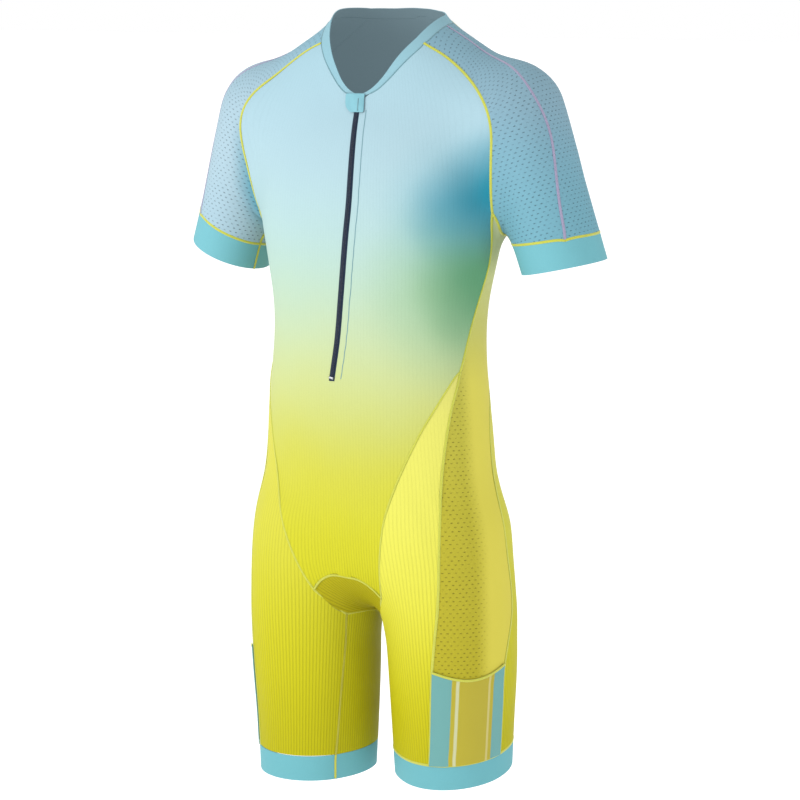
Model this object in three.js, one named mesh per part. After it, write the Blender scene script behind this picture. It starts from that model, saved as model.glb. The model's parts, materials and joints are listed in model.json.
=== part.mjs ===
// Short-sleeved triathlon suit, filled out as if worn, with its neck, cuffs and legs open.
// Units are millimetres: the wearer's left is +X, the back is +Y and up is +Z.
// The origin lies between the shoulders, level with the sides of the neckline.
import * as THREE from "three";

// Driving dimensions
const CLOTH = 1.2; // thickness of every cloth wall
const SEAM_GAP = 0.3; // clear space between two pieces at a seam
const ZIP_SLOT = 7.5; // width of the open slot in the front for the zip
const ZIP_RELIEF = 0.7; // how far the closed zip teeth stand proud of the cloth
const ZIP_END = -428; // height of the lower end of the zip
const COLLAR_DEPTH = 12; // collar at the sides and back of the neck
const COLLAR_FRONT_DEPTH = 3.5; // collar where its two ends meet at the zip
const CUFF_ALONG = 159; // distance of the cuff seam down the arm
const CUFF_DEPTH = 37;
const HEM_UP = -898; // height of the seam above the leg band, at the front
const HEM_RISE = 0.12; // how much the hem rises for each millimetre towards the back
const BAND_DEPTH = 31;
const SEAT_UP = -700; // height of the lower corners of the back
const POCKET_UP = -772; // height of the open edge of the leg pockets
const STRIDE = 3.4; // degrees: the left leg swings back and the right leg forward
const HIP_UP = -540; // height that the legs swing about
const SHOULDER_TILT = 0.02; // rise of the shoulders towards the left, per millimetre
const FINISH = { roughness: 0.82, metalness: 0 };

// Rows of cloth quads along each seam, and columns across each panel
const ROWS = { raglan: 10, armpit: 3, underarm: 4, side: 10, legSeam: 10, seatSeam: 8, inseam: 7 };
const GUSSET_ROWS = { front: 2, back: 4 };
const COLUMNS = { half: 8, sleeveFront: 6, sleeveBack: 12, legFront: 6, legBack: 10 };

// A table of smooth curves over its first column, flat beyond both ends.
class SmoothTable {
  constructor(rows) {
    this.knots = rows.map((row) => row[0]);
    this.columns = rows[0].slice(1).map((_, index) => rows.map((row) => row[index + 1]));
    this.slopes = this.columns.map((values) => this.slopesOf(values));
  }

  slopesOf(values) {
    const step = (i) => (values[i + 1] - values[i]) / (this.knots[i + 1] - this.knots[i]);
    const last = values.length - 1;
    return values.map((_, i) => {
      if (i === 0) return step(0);
      return i === last ? step(last - 1) : (step(i - 1) + step(i)) / 2;
    });
  }

  at(position) {
    const { knots } = this;
    const last = knots.length - 1;
    const x = Math.min(Math.max(position, knots[0]), knots[last]);
    let i = 0;
    while (i < last - 1 && knots[i + 1] <= x) i += 1;
    const span = knots[i + 1] - knots[i];
    const t = (x - knots[i]) / span;
    const start = 2 * t ** 3 - 3 * t ** 2 + 1;
    const startSlope = (t ** 3 - 2 * t ** 2 + t) * span;
    const endSlope = (t ** 3 - t ** 2) * span;
    return this.columns.map(
      (values, column) =>
        start * values[i] +
        (1 - start) * values[i + 1] +
        startSlope * this.slopes[column][i] +
        endSlope * this.slopes[column][i + 1],
    );
  }
}

// A rounded tube with elliptic sections, as a field that is negative inside and near the
// distance outside. Section columns: along, centre across, centre fore and aft, half width,
// half depth.
class Limb {
  constructor({ start, end, side = [1, 0, 0], caps, squareness = 2, sections }) {
    this.start = new THREE.Vector3(...start);
    this.along = new THREE.Vector3(...end).sub(this.start);
    this.length = this.along.length();
    this.along.normalize();
    this.side = new THREE.Vector3(...side);
    this.side.addScaledVector(this.along, -this.side.dot(this.along)).normalize();
    this.fore = new THREE.Vector3().crossVectors(this.along, this.side);
    if (this.fore.y < 0) this.fore.negate();
    this.caps = caps;
    this.squareness = squareness;
    this.sections = new SmoothTable(sections);
  }

  distance(x, y, z) {
    const dx = x - this.start.x;
    const dy = y - this.start.y;
    const dz = z - this.start.z;
    const along = dx * this.along.x + dy * this.along.y + dz * this.along.z;
    const inside = Math.min(Math.max(along, 0), this.length);
    const beyond = along - inside;
    const [across, forward, halfWidth, halfDepth] = this.sections.at(inside);
    const u = dx * this.side.x + dy * this.side.y + dz * this.side.z - across;
    const v = dx * this.fore.x + dy * this.fore.y + dz * this.fore.z - forward;
    const n = this.squareness;
    const ring = (Math.abs(u / halfWidth) ** n + Math.abs(v / halfDepth) ** n) ** (2 / n);
    const cap = beyond / (beyond < 0 ? this.caps[0] : this.caps[1]);
    const reach = Math.max(Math.sqrt(ring + cap * cap), 1e-6);
    const radius = Math.sqrt(u * u + v * v + beyond * beyond);
    return radius - radius / reach;
  }
}

// The general body form that fills the suit out
const trunk = new Limb({
  start: [0, 0, -60],
  end: [0, 0, -660],
  caps: [40, 40],
  squareness: 2.15,
  sections: [
    [0, 0, 12, 112, 64],
    [30, 0, 10, 140, 78],
    [70, 0, 4, 157, 92],
    [120, 0, -2, 161, 101],
    [170, 0, -6, 159, 103],
    [230, 0, -9, 148, 101],
    [280, 0, -12, 138, 98],
    [330, 0, -14, 137, 94],
    [380, 0, -16, 142, 93],
    [440, 0, -12, 147, 93],
    [500, 0, -10, 151, 92],
    [560, 0, -9, 151, 90],
    [600, 0, -8, 148, 85],
  ],
});
const leg = new Limb({
  start: [0, 0, -610],
  end: [0, 0, -945],
  caps: [50, 60],
  sections: [
    [0, 86, -9, 77, 87],
    [50, 89, -8, 78, 87],
    [110, 90.5, -5, 79, 86],
    [180, 89.5, -1, 77.5, 83],
    [250, 87, 1, 74, 77],
    [335, 85, 2, 70, 72],
  ],
});
const arm = new Limb({
  start: [174, 10, -104],
  end: [246, 22, -330],
  caps: [50, 60],
  sections: [
    [0, 0, 0, 53, 59],
    [48, 0, 0, 53, 61],
    [108, 0, 0, 51, 58],
    [168, 0, 0, 51, 56],
    [240, 0, 0, 51, 55],
  ],
});
const yoke = new Limb({
  start: [0, 12, -44],
  end: [158, 10, -112],
  side: [0, 0, 1],
  caps: [40, 46],
  sections: [
    [0, 0, 0, 64, 68],
    [80, 0, 0, 60, 65],
    [172, 0, 0, 46, 58],
  ],
});
const neck = new Limb({
  start: [0, 16, -80],
  end: [0, 6, 40],
  caps: [30, 30],
  sections: [
    [0, 0, 0, 72, 68],
    [120, 0, 0, 62, 60],
  ],
});
const saddle = new Limb({
  start: [0, 4, -600],
  end: [0, 4, -665],
  caps: [60, 50],
  sections: [
    [0, 0, 0, 90, 86],
    [65, 0, 0, 64, 72],
  ],
});

// Joins two fields with a fillet about as wide as the given reach.
function blend(first, second, reach) {
  const share = Math.min(Math.max(0.5 + (0.5 * (second - first)) / reach, 0), 1);
  return second * (1 - share) + first * share - reach * share * (1 - share);
}

function bodyField(x, y, z) {
  const shoulders = blend(yoke.distance(x, y, z), yoke.distance(-x, y, z), 20);
  const legs = blend(leg.distance(x, y, z), leg.distance(-x, y, z), 6);
  let field = trunk.distance(x, y, z);
  field = blend(field, shoulders, 45);
  field = blend(field, neck.distance(x, y, z), 26);
  field = blend(field, saddle.distance(x, y, z), 22);
  field = blend(field, legs, 36);
  field = blend(field, arm.distance(x, y, z), 34);
  return blend(field, arm.distance(-x, y, z), 34);
}

function slopeOf({ x, y, z }) {
  const h = 0.5;
  return new THREE.Vector3(
    bodyField(x + h, y, z) - bodyField(x - h, y, z),
    bodyField(x, y + h, z) - bodyField(x, y - h, z),
    bodyField(x, y, z + h) - bodyField(x, y, z - h),
  ).divideScalar(2 * h);
}

// Moves a point to the nearest place on the body form.
function settle(point) {
  const settled = point.clone();
  for (let turn = 0; turn < 9; turn += 1) {
    const slope = slopeOf(settled);
    const field = bodyField(settled.x, settled.y, settled.z);
    const step = slope.multiplyScalar(-field / Math.max(slope.lengthSq(), 1e-6));
    settled.add(step.clampLength(0, 8));
  }
  return settled;
}

// The pose: the legs stride about the hips, and the shoulders tilt.
function pose(point) {
  const ease = (t) => THREE.MathUtils.smoothstep(t, 0, 1);
  const side = Math.min(Math.max(point.x / 45, -1), 1);
  const swing = side * (1.5 - 0.5 * side * side) * THREE.MathUtils.degToRad(STRIDE);
  const angle = swing * ease((HIP_UP - point.z) / 170);
  const drop = point.z - HIP_UP;
  return new THREE.Vector3(
    point.x,
    point.y * Math.cos(angle) - drop * Math.sin(angle),
    HIP_UP + drop * Math.cos(angle) + point.y * Math.sin(angle) +
      SHOULDER_TILT * point.x * ease((point.z + 450) / 300),
  );
}

// How far the cloth has slid sideways on the trunk and turned on the legs, by height
const drift = new SmoothTable([
  [-686, 0],
  [-610, -14],
  [-550, -19],
  [-484, -15],
  [-427, -10],
  [-366, -1],
  [-258, 9],
  [-211, 13],
  [-110, 8],
  [-90, 6],
  [-20, 10],
]);
const legTurn = new SmoothTable([
  [-932, -15],
  [-891, -13.5],
  [-826, -10.5],
  [-770, -8],
  [-720, -5],
  [-689, -4],
  [-665, -6],
  [-610, -11],
  [-552, -13.8],
  [-484, -11],
  [-410, -4],
]);

// Points on one side of the suit: +1 is the wearer's left and -1 the right.
const LEG_AXIS = 85;
function onTrunk(side, [x, y, z]) {
  const slide = drift.at(z)[0] * (1 - THREE.MathUtils.smoothstep(x, 110, 155));
  return new THREE.Vector3(side * x + slide, y, z);
}
const onSleeve = (side, [x, y, z]) => new THREE.Vector3(side * x, y, z);

function onLeg(side, [angle, up], radius = 85) {
  const turned = THREE.MathUtils.degToRad(angle + side * legTurn.at(up)[0]);
  const x = LEG_AXIS + radius * Math.sin(turned);
  return new THREE.Vector3(side * x, -radius * Math.cos(turned), up);
}

function onArm(side, angle, along) {
  const outward = new THREE.Vector3(-arm.along.z, 0, arm.along.x).normalize();
  const forward = new THREE.Vector3().crossVectors(arm.along, outward).normalize();
  const turned = THREE.MathUtils.degToRad(angle);
  const point = arm.start
    .clone()
    .addScaledVector(arm.along, along)
    .addScaledVector(outward, 52 * Math.cos(turned))
    .addScaledVector(forward, 52 * Math.sin(turned));
  point.x *= side;
  return point;
}

// Seam points on the left side, from the neck down. Columns: left, back, up.
const NECK_FRONT = [
  [ZIP_SLOT / 2, -74, -91.5],
  [14, -73, -88],
  [30, -69, -76],
  [47, -61, -56],
  [60, -50, -40],
  [67, -41, -30],
];
const NECK_SHOULDER_FRONT = [
  [67, -41, -30],
  [72, -20, -15],
  [74, 3, -6],
];
const NECK_SHOULDER_BACK = [
  [74, 3, -6],
  [69, 27, -4],
  [57, 48, -4],
];
const NECK_BACK = [
  [57, 48, -4],
  [32, 67, -3],
  [ZIP_SLOT / 2, 74, -2],
];
const RAGLAN_FRONT = [
  [67, -41, -30],
  [98, -39, -42],
  [128, -42, -60],
  [154, -51, -80],
  [170, -56, -102],
  [177, -54, -124],
  [176, -50, -146],
  [172, -46, -168],
  [169, -42, -192],
  [166, -34, -214],
  [161, -24, -232],
];
const RAGLAN_BACK = [
  [57, 48, -4],
  [88, 52, -16],
  [122, 56, -42],
  [150, 63, -74],
  [168, 66, -106],
  [174, 64, -138],
  [166, 60, -172],
  [162, 54, -206],
  [157, 35, -239],
];
const ARMPIT_FRONT = [
  [161, -24, -232],
  [166, -6, -245],
  [168, 6, -249],
];
const ARMPIT_BACK = [
  [157, 35, -239],
  [164, 22, -244],
  [168, 6, -249],
];
const SLEEVE_TOP = [
  [74, 3, -6],
  [107, 6, -20],
  [140, 0, -36],
  [170, -12, -54],
  [195, -22, -72],
  [214, -23, -92],
  [226, -18, -112],
  [235, -17, -133],
  [241, -19, -160],
  [246, -22, -190],
  [250, -24, -219],
];
const SIDE_FRONT = [
  [161, -24, -232],
  [156, -13, -256],
  [150, -3, -280],
  [141, -11, -323],
  [136, -29, -367],
];
const SIDE_BACK = [
  [157, 35, -239],
  [146, 44, -266],
  [140, 50, -320],
  [135, 46, -390],
];
const GUSSET_FRONT = [
  [ZIP_SLOT / 2, -90, -665],
  [14, -90, -667],
  [25, -88, -673],
];
const GUSSET_BACK = [
  [ZIP_SLOT / 2, 80, -675],
  [18, 78, -680],
];

// The right leg's side panel lies further round than the left's from PANEL_TURN_TO down.
const PANEL_TURN = 15; // degrees
const PANEL_TURN_FROM = -600;
const PANEL_TURN_TO = -710;
const panelTurn = (side, up) =>
  side > 0 ? 0 : PANEL_TURN * THREE.MathUtils.smoothstep(-up, -PANEL_TURN_FROM, -PANEL_TURN_TO);

// Seam points on the left leg. Columns: angle round the leg from the front, up.
const SIDE_FRONT_LOWER = [
  [50, -410],
  [44, -440],
  [42, -470],
  [39.5, -521],
  [36, -584],
  [31, -630],
  [23, -708],
  [22, -770],
  [21, -826],
  [19.5, -891],
];
const SIDE_BACK_LOWER = [
  [119, -446],
  [103, -480],
  [104, -513],
  [106, -545],
  [103, -576],
  [98, -630],
  [100, -697],
  [90, -750],
  [87, -782],
  [89, -821],
  [92, -881],
];
const LEG_SEAM = [
  [50, -410],
  [37, -441],
  [20, -484],
  [9, -522],
  [-0.7, -552],
  [-8, -584],
  [-12.5, -610],
  [-18.5, -641],
  [-23.5, -665],
  [-29, -686],
];
const SEAT_SEAM = [
  [119, -446],
  [140, -500],
  [161, -560],
  [182, -620],
  [202, -665],
  [220, -700],
];
const GUSSET_SIDE_FRONT = [
  [-29, -686],
  [-42, -707],
  [-54, -722],
];
const GUSSET_SIDE_BACK = [
  [220, -700],
  [234, -710],
  [255, -716],
  [279, -719],
  [306, -722],
];
const INSEAM = [
  [-54, -722],
  [-60, -740],
  [-61, -781],
  [-61.5, -843],
];

// Heights of the leg seams at the band, and where the cuff seams lie on the arm
const hemUp = (side, back) => HEM_UP + 4 * side + HEM_RISE * (back + 72);
const CUFF_ANGLES = { top: 52, underarm: 157 };
const cuffSlant = (side, angle) => side * (3 + 11 * Math.cos(THREE.MathUtils.degToRad(angle)));
const edgeSlant = (side, angle) => side * (2 + 7 * Math.cos(THREE.MathUtils.degToRad(angle)));

function onHem(side, angle, drop) {
  const spot = onLeg(side, [angle, HEM_UP], 73);
  spot.z = hemUp(side, spot.y) - drop;
  return settleLevel(spot);
}

// Moves a point to the body form without changing its height.
function settleLevel(point) {
  const settled = point.clone();
  for (let turn = 0; turn < 6; turn += 1) {
    const slope = slopeOf(settled).setZ(0);
    const field = bodyField(settled.x, settled.y, settled.z);
    settled.addScaledVector(slope, -field / Math.max(slope.lengthSq(), 1e-6));
  }
  return settled;
}

// Evenly spaced points on the body form along a smooth line through the given places.
function trace(places, steps) {
  const rows = [];
  let length = 0;
  places.forEach((place, index) => {
    if (index > 0) length += place.distanceTo(places[index - 1]);
    rows.push([length, place.x, place.y, place.z]);
  });
  const line = new SmoothTable(rows);
  return Array.from({ length: steps + 1 }, (_, index) =>
    settle(new THREE.Vector3(...line.at((length * index) / steps))),
  );
}

const joined = (...stretches) => stretches.flatMap((points, i) => (i ? points.slice(1) : points));

// Every seam line on one side of the suit, as points on the body form.
function seamsOf(side) {
  const trunkLine = (rows, steps) => trace(rows.map((row) => onTrunk(side, row)), steps);
  const legLine = (rows, steps) => trace(rows.map((row) => onLeg(side, row)), steps);
  const arc = (from, to, steps, place) =>
    Array.from({ length: steps + 1 }, (_, i) => place(from + ((to - from) * i) / steps));
  const hem = (from, to, steps) => arc(from, to, steps, (angle) => onHem(side, angle, 0));
  const cuff = (from, to, steps) =>
    arc(from, to, steps, (angle) =>
      settle(onArm(side, angle, CUFF_ALONG + cuffSlant(side, angle))));

  const hemTurn = panelTurn(side, PANEL_TURN_TO);
  const hemFront = hem(-62, 19 + hemTurn, COLUMNS.legFront);
  const hemSide = hem(19 + hemTurn, 92 + hemTurn, 2 * ROWS.armpit);
  const hemBack = hem(92 + hemTurn, 298, COLUMNS.legBack);
  const { top, underarm } = CUFF_ANGLES;
  const cuffFront = cuff(top, underarm, COLUMNS.sleeveFront);
  const cuffBack = cuff(top, underarm - 360, COLUMNS.sleeveBack);
  const startOf = (points) => points[0];
  const endOf = (points) => points[points.length - 1];
  const lowerSide = (rows, apex, hemPoint) => {
    const angles = new SmoothTable([...rows].reverse().map(([angle, up]) => [up, angle]));
    const stretch = (from, to, steps) =>
      arc(from, to, steps, (up) =>
        settle(onLeg(side, [angles.at(up)[0] + panelTurn(side, up), up])));
    const upper = stretch(apex.z, SEAT_UP, ROWS.seatSeam);
    const middle = stretch(SEAT_UP, POCKET_UP, GUSSET_ROWS.back);
    const lower = stretch(POCKET_UP, hemPoint.z, ROWS.inseam);
    return joined([settle(apex), ...upper.slice(1)], middle, [...lower.slice(0, -1), hemPoint]);
  };

  const shoulder = onTrunk(side, SLEEVE_TOP[0]);
  const sleeveTopRows = SLEEVE_TOP.slice(1).map((row) => onSleeve(side, row));
  const apexFront = onLeg(side, SIDE_FRONT_LOWER[0], 64);
  const apexBack = onLeg(side, SIDE_BACK_LOWER[0], 66);
  const gussetCorner = onLeg(side, GUSSET_SIDE_FRONT[0]);
  const seatCorner = onLeg(side, GUSSET_SIDE_BACK[0]);
  const armpit = ROWS.raglan + ROWS.armpit + ROWS.underarm;
  return {
    neckFront: trunkLine(NECK_FRONT, COLUMNS.half),
    neckShoulderFront: trunkLine(NECK_SHOULDER_FRONT, COLUMNS.sleeveFront),
    neckShoulderBack: trunkLine(NECK_SHOULDER_BACK, COLUMNS.sleeveBack),
    neckBack: trunkLine(NECK_BACK, COLUMNS.half),
    raglanFront: trunkLine(RAGLAN_FRONT, ROWS.raglan),
    raglanBack: trunkLine(RAGLAN_BACK, ROWS.raglan),
    armpitFront: trunkLine(ARMPIT_FRONT, ROWS.armpit),
    armpitBack: trunkLine(ARMPIT_BACK, ROWS.armpit),
    underarm: trace([onTrunk(side, ARMPIT_FRONT[2]), endOf(cuffFront)], ROWS.underarm),
    sleeveTop: trace([shoulder, ...sleeveTopRows, startOf(cuffFront)], armpit),
    cuffFront,
    cuffBack,
    sideFront: trace([...SIDE_FRONT.map((row) => onTrunk(side, row)), apexFront], ROWS.side),
    sideBack: trace([...SIDE_BACK.map((row) => onTrunk(side, row)), apexBack], ROWS.side),
    sideFrontLower: lowerSide(SIDE_FRONT_LOWER, apexFront, startOf(hemSide)),
    sideBackLower: lowerSide(SIDE_BACK_LOWER, apexBack, endOf(hemSide)),
    legSeam: trace([apexFront, ...LEG_SEAM.slice(1).map((row) => onLeg(side, row))], ROWS.legSeam),
    seatSeam: trace([apexBack, ...SEAT_SEAM.slice(1).map((row) => onLeg(side, row))], ROWS.seatSeam),
    gussetSideFront: legLine(GUSSET_SIDE_FRONT, GUSSET_ROWS.front),
    gussetSideBack: legLine(GUSSET_SIDE_BACK, GUSSET_ROWS.back),
    inseam: trace([...INSEAM.map((row) => onLeg(side, row)), startOf(hemFront)], ROWS.inseam),
    gussetFront: trace(
      [...GUSSET_FRONT.map((row) => onTrunk(side, row)), gussetCorner],
      COLUMNS.half,
    ),
    gussetBack: trace([...GUSSET_BACK.map((row) => onTrunk(side, row)), seatCorner], COLUMNS.half),
    hemFront,
    hemSide,
    hemBack,
  };
}

// Ways to unroll the body form: each turns a point into three numbers and back again.
const TURN = 2 * Math.PI;
const wrapped = (angle, lowest) => angle + TURN * Math.ceil((lowest - angle) / TURN);

function roundAxis({ axis = 0, side = 1, lowest = -Math.PI }) {
  return {
    unroll: ({ x, y, z }) => [
      wrapped(Math.atan2(side * (x - axis), -y), lowest),
      z,
      Math.hypot(x - axis, y),
    ],
    roll: ([angle, z, radius]) =>
      new THREE.Vector3(
        axis + side * radius * Math.sin(angle),
        -radius * Math.cos(angle),
        z,
      ),
  };
}

// The bent line through the shoulder and the sleeve. Columns: left, back, up.
const SLEEVE_AXIS = [
  [25, 10, -60],
  [95, 12, -72],
  [158, 11, -100],
  [193, 13, -160],
  [212, 16, -220],
  [237, 20, -300],
  [250, 22, -342],
];

function roundSleeve({ side, lowest }) {
  const rows = [];
  let length = 0;
  SLEEVE_AXIS.forEach((row, index) => {
    const place = new THREE.Vector3(...row);
    if (index > 0) length += place.distanceTo(new THREE.Vector3(...SLEEVE_AXIS[index - 1]));
    rows.push([length, ...row]);
  });
  const line = new SmoothTable(rows);
  const frameAt = (along) => {
    const centre = new THREE.Vector3(...line.at(along));
    const behind = new THREE.Vector3(...line.at(along - 1));
    const ahead = new THREE.Vector3(...line.at(along + 1)).sub(behind).normalize();
    const outward = new THREE.Vector3(-ahead.z, 0, ahead.x).normalize();
    const forward = new THREE.Vector3().crossVectors(ahead, outward).normalize();
    return { centre, ahead, outward, forward };
  };
  const unroll = (point) => {
    const place = new THREE.Vector3(side * point.x, point.y, point.z);
    let along = 0;
    let nearest = Infinity;
    for (let trial = 0; trial <= length; trial += 4) {
      const gap = frameAt(trial).centre.distanceTo(place);
      if (gap < nearest) {
        nearest = gap;
        along = trial;
      }
    }
    for (let turn = 0; turn < 12; turn += 1) {
      const { centre, ahead } = frameAt(along);
      const step = place.clone().sub(centre).dot(ahead);
      along = Math.min(Math.max(along + 0.6 * step, 0), length);
    }
    const { centre, outward, forward } = frameAt(along);
    const offset = place.sub(centre);
    const across = offset.dot(outward);
    const front = offset.dot(forward);
    return [wrapped(Math.atan2(front, across), lowest), along, Math.hypot(across, front)];
  };
  const roll = ([angle, along, radius]) => {
    const { centre, outward, forward } = frameAt(along);
    const point = centre
      .addScaledVector(outward, radius * Math.cos(angle))
      .addScaledVector(forward, radius * Math.sin(angle));
    point.x *= side;
    return point;
  };
  return { unroll, roll };
}

const unrolledFlat = { unroll: ({ x, y, z }) => [x, y, z], roll: (row) => new THREE.Vector3(...row) };

// A grid of points on the body form between four seam lines. The top and bottom lines run
// from left to right, the others from top to bottom.
function patch({ top, bottom, left, right, chart }) {
  const lastRow = left.length - 1;
  const lastColumn = top.length - 1;
  const edges = [top, bottom, left, right].map((line) => line.map(chart.unroll));
  const [topRow, bottomRow, leftRow, rightRow] = edges;
  const corner = (u, v, index) =>
    (1 - u) * (1 - v) * topRow[0][index] +
    u * (1 - v) * topRow[lastColumn][index] +
    (1 - u) * v * bottomRow[0][index] +
    u * v * bottomRow[lastColumn][index];
  return left.map((leftPoint, row) =>
    top.map((topPoint, column) => {
      if (column === 0) return leftPoint;
      if (column === lastColumn) return right[row];
      if (row === 0) return topPoint;
      if (row === lastRow) return bottom[column];
      const u = column / lastColumn;
      const v = row / lastRow;
      const place = [0, 1, 2].map(
        (index) =>
          (1 - v) * topRow[column][index] +
          v * bottomRow[column][index] +
          (1 - u) * leftRow[row][index] +
          u * rightRow[row][index] -
          corner(u, v, index),
      );
      return settle(chart.roll(place));
    }),
  );
}

// Pulls one edge of a grid in by half the seam gap, square to the seam.
function pullIn(grid, edge) {
  const lastRow = grid.length - 1;
  const lastColumn = grid[0].length - 1;
  const lines = {
    top: [grid[0].map((_, i) => [0, i]), grid[0].map((_, i) => [1, i])],
    bottom: [grid[0].map((_, i) => [lastRow, i]), grid[0].map((_, i) => [lastRow - 1, i])],
    left: [grid.map((_, i) => [i, 0]), grid.map((_, i) => [i, 1])],
    right: [grid.map((_, i) => [i, lastColumn]), grid.map((_, i) => [i, lastColumn - 1])],
  };
  const [edgeCells, innerCells] = lines[edge];
  const pointAt = ([row, column]) => grid[row][column];
  const seam = edgeCells.map(pointAt);
  return seam.map((point, i) => {
    const inward = pointAt(innerCells[i]).clone().sub(point);
    const squareTo = (neighbour) => {
      if (!neighbour) return null;
      const tangent = neighbour.clone().sub(point).normalize();
      return inward.clone().addScaledVector(tangent, -inward.dot(tangent)).normalize();
    };
    const before = squareTo(seam[i - 1]) ?? squareTo(seam[i + 1]);
    const after = squareTo(seam[i + 1]) ?? before;
    const shift = before.clone().add(after).normalize();
    const mitre = Math.max(shift.dot(before), 0.4);
    return { cell: edgeCells[i], shift: shift.multiplyScalar(SEAM_GAP / 2 / mitre) };
  });
}

function clearOfSeams(grid, edges = ["top", "bottom", "left", "right"]) {
  const moved = grid.map((row) => row.map((point) => point.clone()));
  for (const { cell, shift } of edges.flatMap((edge) => pullIn(grid, edge))) {
    moved[cell[0]][cell[1]].add(shift);
  }
  return moved;
}

// A closed cloth wall over a grid of points on the body form. The lift raises its outer face
// off the form, quads that are skipped leave a hole, and a round grid closes on itself.
function wall(name, color, grid, { lift = () => 0, skip = () => false, round = false } = {}) {
  const columns = grid[0].length;
  const outer = [];
  const inner = [];
  grid.forEach((row, i) =>
    row.forEach((point, j) => {
      const out = slopeOf(point).normalize();
      const height = lift(i, j);
      outer.push(pose(point.clone().addScaledVector(out, height)));
      inner.push(pose(point.clone().addScaledVector(out, height - CLOTH)));
    }),
  );
  const cell = (i, j) => i * columns + (j % columns);
  const faces = [];
  for (let i = 0; i + 1 < grid.length; i += 1) {
    for (let j = 0; j + (round ? 0 : 1) < columns; j += 1) {
      if (skip(i, j)) continue;
      const [a, b, c, d] = [cell(i, j), cell(i, j + 1), cell(i + 1, j + 1), cell(i + 1, j)];
      faces.push([a, b, c], [a, c, d]);
    }
  }
  const middle = Math.floor(faces.length / 2);
  const [a, b, c] = faces[middle].map((index) => outer[index]);
  const facing = new THREE.Vector3().crossVectors(b.clone().sub(a), c.clone().sub(a));
  const outward = outer[faces[middle][0]].clone().sub(inner[faces[middle][0]]);
  if (facing.dot(outward) < 0) faces.forEach((face) => face.reverse());

  const used = new Set(faces.flatMap(([p, q, r]) => [`${p} ${q}`, `${q} ${r}`, `${r} ${p}`]));
  const count = outer.length;
  const triangles = faces.flatMap(([p, q, r]) => [p, q, r, count + r, count + q, count + p]);
  for (const [p, q, r] of faces) {
    for (const [from, to] of [[p, q], [q, r], [r, p]]) {
      if (used.has(`${to} ${from}`)) continue;
      triangles.push(to, from, count + from, to, count + from, count + to);
    }
  }
  return solid(name, color, [...outer, ...inner], triangles);
}

function solid(name, color, points, triangles) {
  const places = new Map();
  const positions = [];
  const indices = triangles.map((point) => {
    if (!places.has(point)) {
      places.set(point, places.size);
      positions.push(...points[point].toArray());
    }
    return places.get(point);
  });
  const geometry = new THREE.BufferGeometry();
  geometry.setAttribute("position", new THREE.Float32BufferAttribute(positions, 3));
  geometry.setIndex(indices);
  geometry.computeVertexNormals();
  const mesh = new THREE.Mesh(geometry, new THREE.MeshStandardMaterial({ color, ...FINISH }));
  mesh.name = name;
  return mesh;
}

// Colours
const SKY = 0xbbdee8;
const STEEL_BLUE = 0x86b0c6;
const YELLOW = 0xddd728;
const PANEL_YELLOW = 0xc9c93a;
const TEAL = 0x76c4cb;
const NAVY = 0x2c3c55;
const SILVER = 0xb9bcc0;

const SIDES = [
  { side: 1, label: "left" },
  { side: -1, label: "right" },
];
const seams = new Map(SIDES.map(({ side }) => [side, seamsOf(side)]));

// Front and back: a half on each side of a narrow middle strip
function bothHalves(halfOf) {
  const leftHalf = halfOf(1);
  const rightHalf = halfOf(-1);
  return leftHalf.map((row, i) => [...[...rightHalf[i]].reverse(), ...row]);
}

function middleLine(side, heights, back) {
  return joined(
    ...heights.slice(1).map(({ up, steps }, i) => {
      const from = heights[i].up;
      return Array.from({ length: steps + 1 }, (_, k) =>
        settle(onTrunk(side, [ZIP_SLOT / 2, back, from + ((up - from) * k) / steps])));
    }),
  );
}

const frontMiddle = (side) =>
  middleLine(
    side,
    [
      { up: NECK_FRONT[0][2] },
      { up: -198, steps: ROWS.raglan },
      { up: ZIP_END, steps: ROWS.side },
      { up: GUSSET_FRONT[0][2], steps: ROWS.legSeam },
    ],
    -95,
  );
const backMiddle = (side) =>
  middleLine(
    side,
    [
      { up: NECK_BACK[2][2] },
      { up: -200, steps: ROWS.raglan },
      { up: -440, steps: ROWS.side },
      { up: GUSSET_BACK[0][2], steps: ROWS.seatSeam },
    ],
    90,
  );

const frontGrid = bothHalves((side) => {
  const { neckFront, gussetFront, raglanFront, sideFront, legSeam } = seams.get(side);
  return patch({
    top: neckFront,
    bottom: gussetFront,
    left: frontMiddle(side),
    right: joined(raglanFront, sideFront, legSeam),
    chart: roundAxis({}),
  });
});
const zipRows = ROWS.raglan + ROWS.side;
const middleColumn = COLUMNS.half;
const front = wall("front", SKY, clearOfSeams(frontGrid), {
  skip: (row, column) => column === middleColumn && row < zipRows,
});

const backGrid = bothHalves((side) => {
  const { neckBack, gussetBack, raglanBack, sideBack, seatSeam } = seams.get(side);
  return patch({
    top: [...neckBack].reverse(),
    bottom: gussetBack,
    left: backMiddle(side),
    right: joined(raglanBack, sideBack, seatSeam),
    chart: roundAxis({ lowest: 0 }),
  });
});
const back = wall("back", SKY, clearOfSeams(backGrid));

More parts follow.
